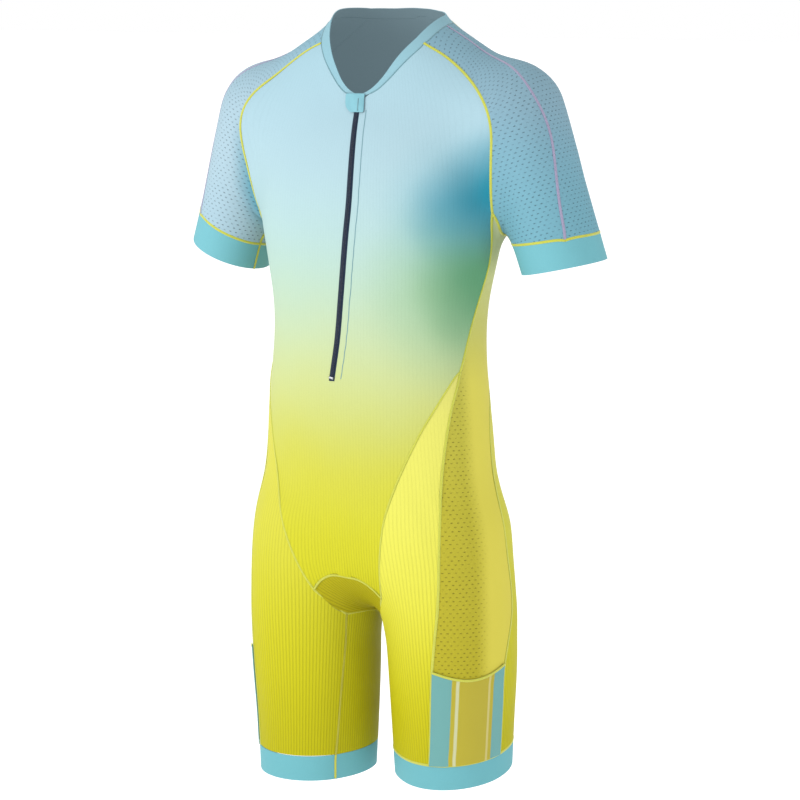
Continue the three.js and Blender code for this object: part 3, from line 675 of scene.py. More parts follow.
def paint(colour: str) -> tuple[float, float, float, float]:
    """Works out a dye.

    Args:
        colour: how it looks under the studio's light, as six hexadecimal sRGB digits.

    Returns:
        The linear colour, with an alpha of 1.
    """
    channels = [int(colour[place : place + 2], 16) / 255 for place in (0, 2, 4)]
    linear = [c / 12.92 if c <= 0.04045 else ((c + 0.055) / 1.055) ** 2.4 for c in channels]
    return (*(c / STUDIO_GAIN for c in linear), 1.0)


@dataclass(frozen=True)
class Number:
    """A number that a material's nodes work out, for use in sums like a plain one."""

    tree: Tree
    socket: Socket

    def __add__(self, other: Number | float) -> Number:
        """Returns the sum."""
        return self.tree.math("ADD", self, other)

    def __sub__(self, other: Number | float) -> Number:
        """Returns the difference."""
        return self.tree.math("SUBTRACT", self, other)

    def __rsub__(self, other: float) -> Number:
        """Returns the difference from a plain number."""
        return self.tree.math("SUBTRACT", other, self)

    def __mul__(self, other: Number | float) -> Number:
        """Returns the product."""
        return self.tree.math("MULTIPLY", self, other)

    def __truediv__(self, other: Number | float) -> Number:
        """Returns the quotient."""
        return self.tree.math("DIVIDE", self, other)


class Tree:
    """A material's node tree, with short ways to make the nodes that cloth needs."""

    def __init__(self, name: str) -> None:
        """Makes a material with nothing but its shader.

        Args:
            name: the material's name.
        """
        self.material = bpy.data.materials.new(name)
        self.material.use_nodes = True
        self.nodes = self.material.node_tree.nodes
        self.links = self.material.node_tree.links
        self.nodes.clear()
        output = self.nodes.new("ShaderNodeOutputMaterial")
        self.shader = self.nodes.new("ShaderNodeBsdfPrincipled")
        self.links.new(self.shader.outputs[0], output.inputs[0])

    def feed(self, socket: Socket, value: Number | Socket | float | tuple | str) -> None:
        """Links a socket to a worked-out value, or sets it to a plain one.

        Args:
            socket: the socket.
            value: what goes in. A string is a colour as hexadecimal digits.
        """
        value = value.socket if isinstance(value, Number) else value
        if isinstance(value, bpy.types.NodeSocket):
            self.links.new(value, socket)
        else:
            socket.default_value = paint(value) if isinstance(value, str) else value

    def set(self, node: bpy.types.Node, **inputs: Number | Socket | float | tuple | str) -> None:
        """Feeds a node's inputs, named with _ for a space."""
        for name, value in inputs.items():
            self.feed(node.inputs[name.replace("_", " ")], value)

    def node(self, kind: str, **inputs: Number | Socket | float | tuple | str) -> bpy.types.Node:
        """Makes a node.

        Args:
            kind: the shader node's type.
            inputs: what goes into it, named with _ for a space.

        Returns:
            The node.
        """
        node = self.nodes.new("ShaderNode" + kind)
        self.set(node, **inputs)
        return node

    def math(self, operation: str, *values: Number | float) -> Number:
        """Does a sum.

        Args:
            operation: the Math node's operation.
            values: what goes in.

        Returns:
            The result.
        """
        node = self.node("Math")
        node.operation = operation
        for socket, value in zip(node.inputs, values):
            self.feed(socket, value)
        return Number(self, node.outputs[0])

    def distance(self, a: Number, b: Number) -> Number:
        """Returns the length of a line that reaches a one way and b the other."""
        squares = [self.math("POWER", self.math("ABSOLUTE", side), 2.0) for side in (a, b)]
        return self.math("SQRT", squares[0] + squares[1])

    def span(self, value: Number, low: float, high: float, to: tuple[float, float] = (0, 1)) -> Number:
        """Eases a value from one range to another, and holds it at the ends.

        Args:
            value: the value.
            low: where its range starts.
            high: where its range ends.
            to: the ends of the new range.

        Returns:
            The eased value.
        """
        node = self.node("MapRange", Value=value, From_Min=low, From_Max=high, To_Min=to[0], To_Max=to[1])
        node.interpolation_type = "SMOOTHSTEP"
        return Number(self, node.outputs[0])

    def attribute(self, name: str) -> Number:
        """Reads a number that is stored on the mesh.

        Args:
            name: the attribute's name.

        Returns:
            The number at the point.
        """
        node = self.node("Attribute")
        node.attribute_name = name
        return Number(self, node.outputs["Fac"])

    def where(self) -> Socket:
        """Returns the point in the object's own frame, in metres."""
        return self.node("TexCoord").outputs["Object"]

    def height(self) -> Number:
        """Returns the point's Z in metres."""
        return Number(self, self.node("SeparateXYZ", Vector=self.where()).outputs[2])

    def noise(self, scale: float, detail: float = 2.0) -> Number:
        """Returns smooth noise from 0 to 1, with this many waves in a metre."""
        node = self.node("TexNoise", Vector=self.where(), Scale=scale, Detail=detail)
        return Number(self, node.outputs["Fac"])

    def ramp(self, value: Number, stops: list[tuple[float, str]]) -> Socket:
        """Makes a colour that runs through some stops.

        Args:
            value: the place along the ramp, from 0 to 1.
            stops: each stop's place and its colour as hexadecimal digits.

        Returns:
            The colour.
        """
        node = self.node("ValToRGB", Fac=value)
        node.color_ramp.interpolation = "EASE" if len(stops) < 3 else "B_SPLINE"
        elements = node.color_ramp.elements
        while len(elements) < len(stops):
            elements.new(0.5)
        for element, (place, _) in zip(elements, stops):
            element.position = place
        for element, (_, colour) in zip(elements, stops):
            element.color = paint(colour)
        return node.outputs[0]

    def blend(self, share: Number | float, a: Socket | str, b: Socket | str, mode: str = "MIX") -> Socket:
        """Lays one colour over another.

        Args:
            share: how much of the upper colour shows.
            a: the lower colour.
            b: the upper colour.
            mode: how they blend.

        Returns:
            The colour.
        """
        node = self.node("Mix")
        node.data_type, node.blend_type = "RGBA", mode
        for place, value in zip((0, 6, 7), (share, a, b)):
            self.feed(node.inputs[place], value)
        return node.outputs[2]

    def bump(self, height: Number, depth: float, under: Socket | None = None) -> Socket:
        """Raises the surface.

        Args:
            height: how much, from 0 to 1.
            depth: how far a height of 1 is, in metres.
            under: the normal of the surface beneath.

        Returns:
            The normal.
        """
        node = self.node("Bump", Strength=1.0, Distance=depth, Height=height)
        if under is not None:
            self.feed(node.inputs["Normal"], under)
        return node.outputs[0]


@dataclass(frozen=True)
class Cloud:
    """A soft area laid over the cloth's colour. Most are printed clouds; the one on the right sleeve is painted
    shade.

    middle: its centre as X and Z in millimetres.
    radii: its half sizes across and up, in millimetres.
    tilt: how far it leans, in degrees from level towards the wearer's left.
    edge: how soft its border is, as a share of its size.
    colour: the colour that it lays over the cloth, and strength how fully.
    fray: how far noise moves its border, as a share of its size.
    """

    middle: tuple[float, float]
    radii: tuple[float, float]
    tilt: float
    edge: float
    colour: str
    strength: float
    fray: float = 0.5

    def over(self, tree: Tree, base: Socket, waver: Number) -> Socket:
        """Lays the cloud over a colour.

        Args:
            tree: the material's tree.
            base: the colour beneath.
            waver: noise that frays the border.

        Returns:
            The colour with the cloud over it.
        """
        split = tree.node("SeparateXYZ", Vector=tree.where())
        dx = Number(tree, split.outputs[0]) - self.middle[0] * MM
        dz = Number(tree, split.outputs[2]) - self.middle[1] * MM
        c, s = math.cos(math.radians(self.tilt)), math.sin(math.radians(self.tilt))
        across, up = (dx * c + dz * s) / (self.radii[0] * MM), (dz * c - dx * s) / (self.radii[1] * MM)
        frayed = tree.distance(across, up) + (waver - 0.5) * self.fray
        share = tree.span(frayed, 1 - self.edge, 1 + self.edge, (self.strength, 0.0))
        return tree.blend(share, base, self.colour)


@dataclass(frozen=True)
class ClothFinish:
    """A knitted cloth with a dye that changes with height.

    name: the material's name.
    knit: how its face is knitted.
    stops: the dye's colours, as heights in millimetres and sRGB digits, from the lowest up; the left leg's carry
    a painted highlight.
    clouds: soft areas over it: printed clouds, and painted shade on the right sleeve.
    pitch: the spacing of ribs, or of dimples across, in millimetres.
    relief: how deep the ribs or dimples are, in millimetres.
    shade: how much painted shade darkens a groove or a dimple, as a share.
    glow: painted light that the cloth gives off as emission, as a share of its colour.
    front_only: whether the dimples fade out across the piece's rear half, which also gets a painted highlight
    from the waist down.
    row: the spacing of the rows of dimples, in millimetres.
    dimple: a dimple's half width and half height, in millimetres.
    slant: how much a rib on the bias goes across and along.
    waver: how far noise moves the dye up or down, in metres.
    """

    name: str
    knit: Knit
    stops: tuple[tuple[float, str], ...]
    clouds: tuple[Cloud, ...] = ()
    pitch: float = 4.1
    relief: float = 0.35
    shade: float = 0.16
    painted_glow: float = 0.0
    front_only: bool = False
    row: float = 5.0
    dimple: tuple[float, float] = (1.35, 0.62)
    slant: tuple[float, float] = (0.8, 0.6)
    waver: float = 0.03

    def dye(self, tree: Tree) -> Socket:
        """Makes the cloth's colour from its stops and clouds, which hold painted light on some pieces, before
        the knit's painted shade.

        Args:
            tree: the material's tree.

        Returns:
            The colour.
        """
        low, high = self.stops[0][0], self.stops[-1][0]
        noise = tree.noise(9.0)
        share = (tree.height() + (noise - 0.5) * self.waver - low * MM) / ((high - low) * MM)
        colour = tree.ramp(share, [((up - low) / (high - low), digits) for up, digits in self.stops])
        for cloud in self.clouds:
            colour = cloud.over(tree, colour, noise)
        return colour

    def grooves(self, tree: Tree) -> Number:
        """Makes the knit's relief.

        Args:
            tree: the material's tree.

        Returns:
            0 on the face of the cloth and 1 at the bottom of its grooves or dimples.
        """
        across, along = tree.attribute("across"), tree.attribute("along")
        if self.knit is Knit.DIMPLED:
            row = along / self.row
            shift = tree.math("FLOORED_MODULO", tree.math("FLOOR", row), 2.0) * 0.5
            du = (tree.math("FRACT", across / self.pitch + shift) - 0.5) * (self.pitch / self.dimple[0])
            dv = (tree.math("FRACT", row) - 0.5) * (self.row / self.dimple[1])
            uneven = tree.span(tree.noise(90.0), 0.3, 0.6, (0.35, 1.0))
            return tree.span(tree.distance(du, dv), 0.6, 1.15, (1.0, 0.0)) * uneven
        if self.knit is Knit.BIAS_RIBBED:
            across = across * self.slant[0] + along * self.slant[1]
        groove = tree.span(tree.math("COSINE", across * (2 * math.pi / self.pitch)), -0.2, -1.0)
        if self.knit is Knit.RIBBED:  # These ribs grow faint from the waist up.
            groove = groove * tree.span(tree.height(), -0.78, -0.42, (1.0, 0.12))
        return groove

    def rear(self, tree: Tree, groove: Number, colour: Socket) -> tuple[Number, Socket]:
        """Leaves the dimples to the front half of the piece.

        Args:
            tree: the material's tree.
            groove: the relief of the whole piece.
            colour: its colour.

        Returns:
            The relief, and the colour, which is deeper in front, with a painted highlight at the rear from the
            waist down.
        """
        front = tree.span(tree.attribute("across"), -58.0, -34.0, (1.0, 0.0))
        lower = tree.span(tree.height(), -0.44, -0.36, (1.0, 0.0))
        colour = tree.blend(front * 0.16, colour, "8A7C10")
        # A painted highlight brightens the rear half from the waist down.
        return groove * front, tree.blend((1.0 - front) * lower * 0.5, colour, "FFF26C")

    def build(self) -> Material:
        """Dresses the cloth.

        Returns:
            The material.
        """
        tree = Tree(self.name)
        fine = tree.noise(900.0)
        grain = tree.ramp(fine, [(0.3, "404040"), (0.7, "FFFFFF")])
        colour = tree.blend(0.06, self.dye(tree), grain, "MULTIPLY")
        normal = tree.bump(fine, 0.08 * MM)
        if self.knit is not Knit.SMOOTH:
            groove = self.grooves(tree)
            if self.front_only:
                groove, colour = self.rear(tree, groove, colour)
            # Painted shade darkens the grooves and dimples.
            colour = tree.blend(groove * self.shade, colour, "3A3A20")
            normal = tree.bump(1.0 - groove, self.relief * MM, normal)
        tree.set(tree.shader, Base_Color=colour, Roughness=0.62, Normal=normal, Specular_IOR_Level=0.12)
        # Emission here is painted light that brightens the cloth.
        if self.painted_glow:
            tree.set(tree.shader, Emission_Color=colour, Emission_Strength=self.painted_glow)
        return tree.material


@dataclass(frozen=True)
class SeamFinish:
    """Thread laid over a seam as a low ridge.

    name: the material's name.
    colour: the thread's colour, shadow the painted shade between its stitches and edge the painted shade along
    one side.
    stitch: the spacing of its stitches, in millimetres.
    """

    name: str
    colour: str
    shadow: str
    edge: str
    stitch: float = 1.5

    def build(self) -> Material:
        """Dresses the thread.

        Returns:
            The material.
        """
        tree = Tree(self.name)
        slant = tree.attribute("along") + tree.math("ABSOLUTE", tree.attribute("across")) * 0.7
        stitch = tree.span(tree.math("SINE", slant * (2 * math.pi / self.stitch)), -0.9, 0.4)
        # Painted shade darkens the thread between its stitches and along one side of the ridge.
        colour = tree.blend(tree.span(stitch, 0.0, 1.0, (0.35, 0.0)), self.colour, self.shadow)
        colour = tree.blend(tree.span(tree.attribute("share"), 0.40, 0.49, (0.0, 0.6)), colour, self.edge)
        grain = tree.ramp(tree.noise(500.0, 3.0), [(0.3, "606060"), (0.7, "FFFFFF")])
        colour = tree.blend(0.08, colour, grain, "MULTIPLY")
        normal = tree.bump(stitch, 0.25 * MM)
        tree.set(tree.shader, Base_Color=colour, Roughness=0.6, Normal=normal, Sheen_Weight=0.2)
        return tree.material


@dataclass(frozen=True)
class PocketFinish:
    """Pocket cloth with upright stripes.

    ground: the colour between the stripes.
    stripes: each stripe's two edges as shares of the pocket's width, and its colour.
    blur: half the width of a stripe's soft edge, as a share of the pocket's width.
    mesh: the spacing of the holes in the knit, in millimetres.
    """

    name: str
    ground: str
    stripes: tuple[tuple[float, float, str], ...]
    blur: float = 0.006
    mesh: float = 1.7

    def build(self) -> Material:
        """Dresses the pocket.

        Returns:
            The material.
        """
        tree = Tree(self.name)
        share = tree.attribute("share")
        colour: Socket | str = self.ground
        for low, high, digits in self.stripes:
            inside = tree.span(share, low - self.blur, low + self.blur)
            inside = inside * tree.span(share, high - self.blur, high + self.blur, (1.0, 0.0))
            colour = tree.blend(inside, colour, digits)
        turns = 2 * math.pi / self.mesh
        waves = [tree.math("SINE", tree.attribute(way) * turns) for way in ("across", "along")]
        hole = tree.span(waves[0] * waves[1], 0.1, 0.9)
        # Painted shade darkens the holes of the knit.
        colour = tree.blend(hole * 0.12, colour, "4A4A20")
        normal = tree.bump(1.0 - hole, 0.2 * MM)
        tree.set(tree.shader, Base_Color=colour, Roughness=0.75, Normal=normal, Sheen_Weight=0.15)
        return tree.material


@dataclass(frozen=True)
class HardFinish:
    """Metal or moulded plastic of one colour with light wear."""

    name: str
    colour: str
    worn: str
    metallic: float
    roughness: float

    def build(self) -> Material:
        """Dresses a hard piece.

        Returns:
            The material.
        """
        tree = Tree(self.name)
        grain = tree.noise(300.0, 4.0)
        colour = tree.blend(tree.span(grain, 0.45, 0.75, (0.0, 0.6)), self.colour, self.worn)
        tree.set(tree.shader, Base_Color=colour, Metallic=self.metallic, Roughness=self.roughness)
        tree.set(tree.shader, Normal=tree.bump(grain, 0.05 * MM))
        return tree.material


def make_finishes() -> dict[str, Material]:
    """Makes every material.

    Returns:
        The materials by name.
    """
    sky_to_yellow = (
        (-935.0, "CEC804"), (-857.0, "D2CC06"), (-758.0, "E0DA0C"), (-623.0, "E6E42C"), (-549.0, "E4E24A"),
        (-487.0, "DEE270"), (-426.0, "DDE9A0"), (-364.0, "D3E9BE"), (-303.0, "C8E8D6"), (-241.0, "C4E6E8"),
        (-167.0, "BFE0EB"), (-93.0, "B9DDEA"), (15.0, "AFD8E6"),
    )
    # The left leg's front colours are brighter than the right leg's: a painted highlight.
    leg_yellow, leg_painted_highlight = (
        tuple(zip((-935.0, -860.0, -790.0, -700.0, -600.0, -480.0, -400.0), colours.split()))
        for colours in (
            "CCC404 D2CC08 DCD614 E4E028 EAE74C ECE862 E6E478",
            "D0C806 D8D00C E4DE1C F8F44C FAF868 FCFA78 F4F088",
        )
    )
    side_olive = (
        (-935.0, "C8BC1C"), (-640.0, "D6CC3C"), (-460.0, "DCD64C"), (-350.0, "DEDE78"), (-240.0, "D0E0B4"),
    )
    sky_left = (
        (-320.0, "7EBCCE"), (-230.0, "82BED0"), (-160.0, "88BED2"), (-90.0, "9CBED0"), (-10.0, "90C0D2"),
    )
    sky_right = (
        (-320.0, "B2D4E4"), (-200.0, "BCDAE8"), (-100.0, "BCD8E6"), (-40.0, "9CC8DA"), (-10.0, "8CC0D2"),
    )
    body_clouds = (
        Cloud((128.0, -322.0), (56.0, 72.0), 6.0, 0.95, "A2D2A0", 0.75),
        Cloud((150.0, -214.0), (62.0, 56.0), 38.0, 0.95, "86C8DA", 0.75),
        Cloud((154.0, -312.0), (40.0, 62.0), 6.0, 0.95, "5FA878", 0.95),
        Cloud((172.0, -200.0), (62.0, 42.0), 38.0, 0.9, "1796B0", 0.98),
    )
    # Painted shade on the right sleeve beside the body, near the armpit.
    painted_armpit_shade = (Cloud((-146.0, -225.0), (30.0, 76.0), 12.0, 0.6, "3A9CB2", 0.9),)
    dimples = {"pitch": 7.0, "relief": 0.7, "shade": 0.42}
    finishes = (
        ClothFinish("body", Knit.RIBBED, sky_to_yellow, body_clouds),
        ClothFinish("back", Knit.RIBBED, sky_to_yellow),
        ClothFinish("gusset", Knit.BIAS_RIBBED, ((-900.0, "C0B60C"), (-600.0, "C8BE12"))),
        ClothFinish("leg_right", Knit.RIBBED, leg_yellow, shade=0.18),
        # The left leg's front carries a painted highlight.
        ClothFinish("leg_left", Knit.RIBBED, leg_painted_highlight, shade=0.14),
        ClothFinish("side", Knit.DIMPLED, side_olive, front_only=True, **dimples),
        ClothFinish("sleeve_left", Knit.DIMPLED, sky_left, **dimples),
        ClothFinish("sleeve_right", Knit.DIMPLED, sky_right, painted_armpit_shade, **dimples),
        ClothFinish("band", Knit.SMOOTH, ((-935.0, "7AC6D0"), (10.0, "84CEDA"))),
        ClothFinish("collar", Knit.SMOOTH, ((-100.0, "A0D0DE"), (10.0, "A0D0DE"))),
        ClothFinish("flap", Knit.SMOOTH, ((-120.0, "94D2E0"), (-60.0, "94D2E0"))),
        # The inside gives off painted light, which brightens its inner face.
        ClothFinish("inside", Knit.SMOOTH, ((-935.0, "63767D"), (10.0, "63767D")), painted_glow=1.35),
        ClothFinish("tape", Knit.SMOOTH, ((-935.0, "26364E"), (10.0, "26364E"))),
        SeamFinish("thread_yellow", "E6EA46", "CACE34", "88881C"),
        SeamFinish("thread_olive", "D2CE24", "ACA814", "6E6C08"),
        SeamFinish("thread_lilac", "BAB2D4", "A09AC2", "74769C"),
        SeamFinish("thread_plain", "78AEBA", "5F93A0", "4C7E8C"),
        PocketFinish("pocket", "C8B914", (
            (-0.1, 0.257, "70B6B4"), (0.31, 0.35, "DEE0AC"), (0.74, 0.77, "DFD27C"), (0.82, 1.1, "70B6B4"),
        )),
        HardFinish("coil", "16263E", "26385A", 0.0, 0.45),
        HardFinish("metal", "B9BCC0", "8A8D92", 0.9, 0.35),
    )
    return {finish.name: finish.build() for finish in finishes}


# Pieces


def placed(name: str, data: bpy.types.ID) -> bpy.types.Object:
    """Puts a new object in the scene.

    Args:
        name: its name.
        data: its mesh, light or camera.

    Returns:
        The object.
    """
    item = bpy.data.objects.new(name, data)
    bpy.context.scene.collection.objects.link(item)
    return item


def make_object(
    name: str,
    points: Array,
    faces: Array,
    materials: list[Material],
    slots: Array | None = None,
    normals: Array | None = None,
    numbers: dict[str, Array] | None = None,
) -> bpy.types.Object:
    """Makes a mesh object that rides on the suit.

    Args:
        name: the piece's name.
        points: the vertices in metres.
        faces: the triangles.
        materials: the materials it uses.
        slots: which material each triangle has, by place.
        normals: the normal at each corner of each triangle, where the shading isn't plain.
        numbers: numbers stored at each vertex, by name.

    Returns:
        The object.
    """
    mesh = bpy.data.meshes.new(name)
    mesh.from_pydata(points.tolist(), [], faces.tolist())
    for material in materials:
        mesh.materials.append(material)
    if slots is not None:
        mesh.polygons.foreach_set("material_index", slots.astype(np.int32))
    mesh.polygons.foreach_set("use_smooth", np.ones(len(faces), bool))
    for title, values in (numbers or {}).items():
        mesh.attributes.new(title, "FLOAT", "POINT").data.foreach_set("value", values.astype(np.float32))
    mesh.update()
    if normals is not None:
        mesh.normals_split_custom_set(normals.tolist())
    piece = placed(name, mesh)
    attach(piece, "root")
    log.info("%s: %d triangles", name, len(faces))
    return piece


@dataclass
class ClothPiece:
    """One sewn piece, as a thin shell over its CAD wall.

    node: the CAD node that it stands for.
    slot: the record's material slot, which is not used.
    finish: the name of its material.
    chart: where its points lie on the cloth.
    gap: how far its edge stays back from a seam, in metres.
    label: its number on the sewn surface.
    thickness: how thick the shell is, in metres.
    """

    node: str
    slot: str
    finish: str
    chart: Chart
    gap: float = 0.12 * MM
    label: int = 0
    thickness: float = 0.9 * MM

    @property
    def kind(self) -> str:
        """Returns the node's name without its side."""
        return self.node.removesuffix("_left").removesuffix("_right")

    def outer(self, frame: dict) -> tuple[Array, Array]:
        """Reads the CAD wall.

        Args:
            frame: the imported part.

        Returns:
            The wall's points, and the triangles of its outer sheet.
        """
        points, faces = read_wall(frame["nodes"][self.node])
        inside = self.chart.centre(points[faces].mean(axis=1) / MM) * MM
        return points, outer_face(points, faces, inside, self.kind == "collar")

    def build(
        self,
        sheet: Sheet,
        normals: Array,
        finishes: dict[str, Material],
        lining: str = "inside",
        numbers: dict[str, Array] | None = None,
    ) -> bpy.types.Object:
        """Makes the shell.

        Args:
            sheet: the surface that this piece is part of.
            normals: its vertex normals.
            finishes: the materials by name.
            lining: the name of the inner face's material.
            numbers: more numbers to store at the vertices of the sheet, by name.

        Returns:
            The shell, which replaces its CAD node.
        """
        used, back = np.unique(sheet.faces[sheet.labels == self.label], return_inverse=True)
        faces, count = back.reshape(-1, 3), len(used)
        points, normal = sheet.points[used].copy(), normals[used]
        sides = sides_of(faces)
        rim = sides[~np.isin(sides[:, 0] * count + sides[:, 1], sides[:, 1] * count + sides[:, 0])]

        middle = at_corners(faces, points[faces].mean(axis=1), count)
        inward = middle / at_corners(faces, np.ones((len(faces), 1)), count) - points
        inward -= (inward * normal).sum(1)[:, None] * normal
        edge = np.unique(rim)
        points[edge] += unit(inward)[edge] * self.gap

        a, b = rim.T
        walls = np.concatenate([np.stack([b, a, a + count], 1), np.stack([b, a + count, b + count], 1)])
        everything = np.concatenate([faces, faces[:, ::-1] + count, walls])
        both = np.concatenate([points, points - normal * self.thickness])
        shading = [normal[faces].reshape(-1, 3), -normal[faces[:, ::-1]].reshape(-1, 3)]
        shading = np.concatenate([*shading, np.repeat(unit(crossed(both[walls])), 3, axis=0)])
        slots = np.concatenate([np.zeros(len(faces)), np.ones(len(faces)), np.zeros(len(walls))])
        across, along = self.chart.place(points / MM)
        stored = {"across": np.tile(across, 2), "along": np.tile(along, 2)}
        stored |= {title: np.tile(values[used], 2) for title, values in (numbers or {}).items()}
        materials = [finishes[self.finish], finishes[lining]]
        piece = make_object(self.node + "_cloth", both, everything, materials, slots, shading, stored)
        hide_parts(self.node)
        return piece


@dataclass(frozen=True)
class Ridge:
    """A low rounded ridge laid along a line on the cloth: a seam's thread, a binding or a row of stitches.

    width and height: its section, in millimetres.
    step: the spacing of its rings, in millimetres.
    section: the ring's points across and up, as shares of the width and of the height.
    """

    width: float
    height: float
    step: float = 2.0
    section: tuple[tuple[float, float], ...] = (
        (-0.5, -0.25), (-0.47, 0.35), (-0.3, 0.82), (0.0, 1.0), (0.3, 0.82), (0.47, 0.35), (0.5, -0.25),
    )

    def build(self, name: str, lines: list[tuple[Array, Array]], material: Material) -> bpy.types.Object:
        """Makes one object of one or more ridges.

        Args:
            name: the piece's name.
            lines: each line's points in metres, and the cloth's normals there.
            material: the ridges' material.

        Returns:
            The ridges as one mesh.
        """
        points, faces, across, along, start = [], [], [], [], 0
        shape = np.array(self.section) * [self.width * MM, self.height * MM]
        for line, normals in lines:
            lengths = lengths_of(line)
            count = max(int(lengths[-1] / (self.step * MM)), 2) + 1
            where = np.linspace(0, lengths[-1], count)
            path, up = read_off(line, lengths, where), unit(read_off(normals, lengths, where))
            ahead = unit(np.gradient(path, axis=0))
            beside = unit(np.cross(ahead, up))
            rings = path[:, None] + beside[:, None] * shape[None, :, :1] + up[:, None] * shape[None, :, 1:]
            points.append(rings.reshape(-1, 3))
            faces.append(tube_faces(count, len(shape)) + start)
            across.append(np.tile(shape[:, 0] / MM, count))
            along.append(np.repeat(where / MM, len(shape)))
            start += count * len(shape)
        numbers = {"across": np.concatenate(across), "along": np.concatenate(along)}
        numbers["share"] = numbers["across"] / self.width
        return make_object(name, np.concatenate(points), np.concatenate(faces), [material], numbers=numbers)


# The suit


@dataclass(frozen=True)
class SeamRule:
    """How a seam is sewn.

    name: the seam's name.
    kind: a kind of piece, and others the kinds that the seam joins it to.
    stitch: the thread.
    width and height: the ridge's, in millimetres.
    passes: how many times its line is smoothed.
    """

    name: str
    kind: str
    others: tuple[str, ...]
    stitch: Stitch = Stitch.YELLOW
    width: float = 3.4
    height: float = 0.9
    passes: int = 3


SEAMS = (
    SeamRule("raglan", "front", ("sleeve_front",)),
    SeamRule("raglan", "back", ("sleeve_back",)),
    SeamRule("sleeve_top", "sleeve_front", ("sleeve_back",), Stitch.LILAC, 3.6, 0.7),
    SeamRule("cuff", "arm_cuff", ("sleeve_front", "sleeve_back")),
    SeamRule("neck", "collar", ("front", "back", "sleeve_front", "sleeve_back"), Stitch.PLAIN, 1.6, 0.4),
    SeamRule("side", "side_panel", ("front", "back", "leg_front", "leg_back")),
    SeamRule("armpit", "side_panel", ("sleeve_front", "sleeve_back")),
    SeamRule("hip", "front", ("leg_front",), width=2.6),
    SeamRule("seat", "back", ("leg_back",), width=2.6),
    SeamRule("gusset", "crotch_gusset", ("front", "back"), width=2.8, passes=60),
    SeamRule("gusset", "crotch_gusset", ("leg_front", "leg_back"), width=2.8, passes=14),
    SeamRule("inseam", "leg_front", ("leg_back",), Stitch.OLIVE, 2.6),
    SeamRule("hem", "leg_band", ("leg_front", "leg_back", "side_panel")),
)


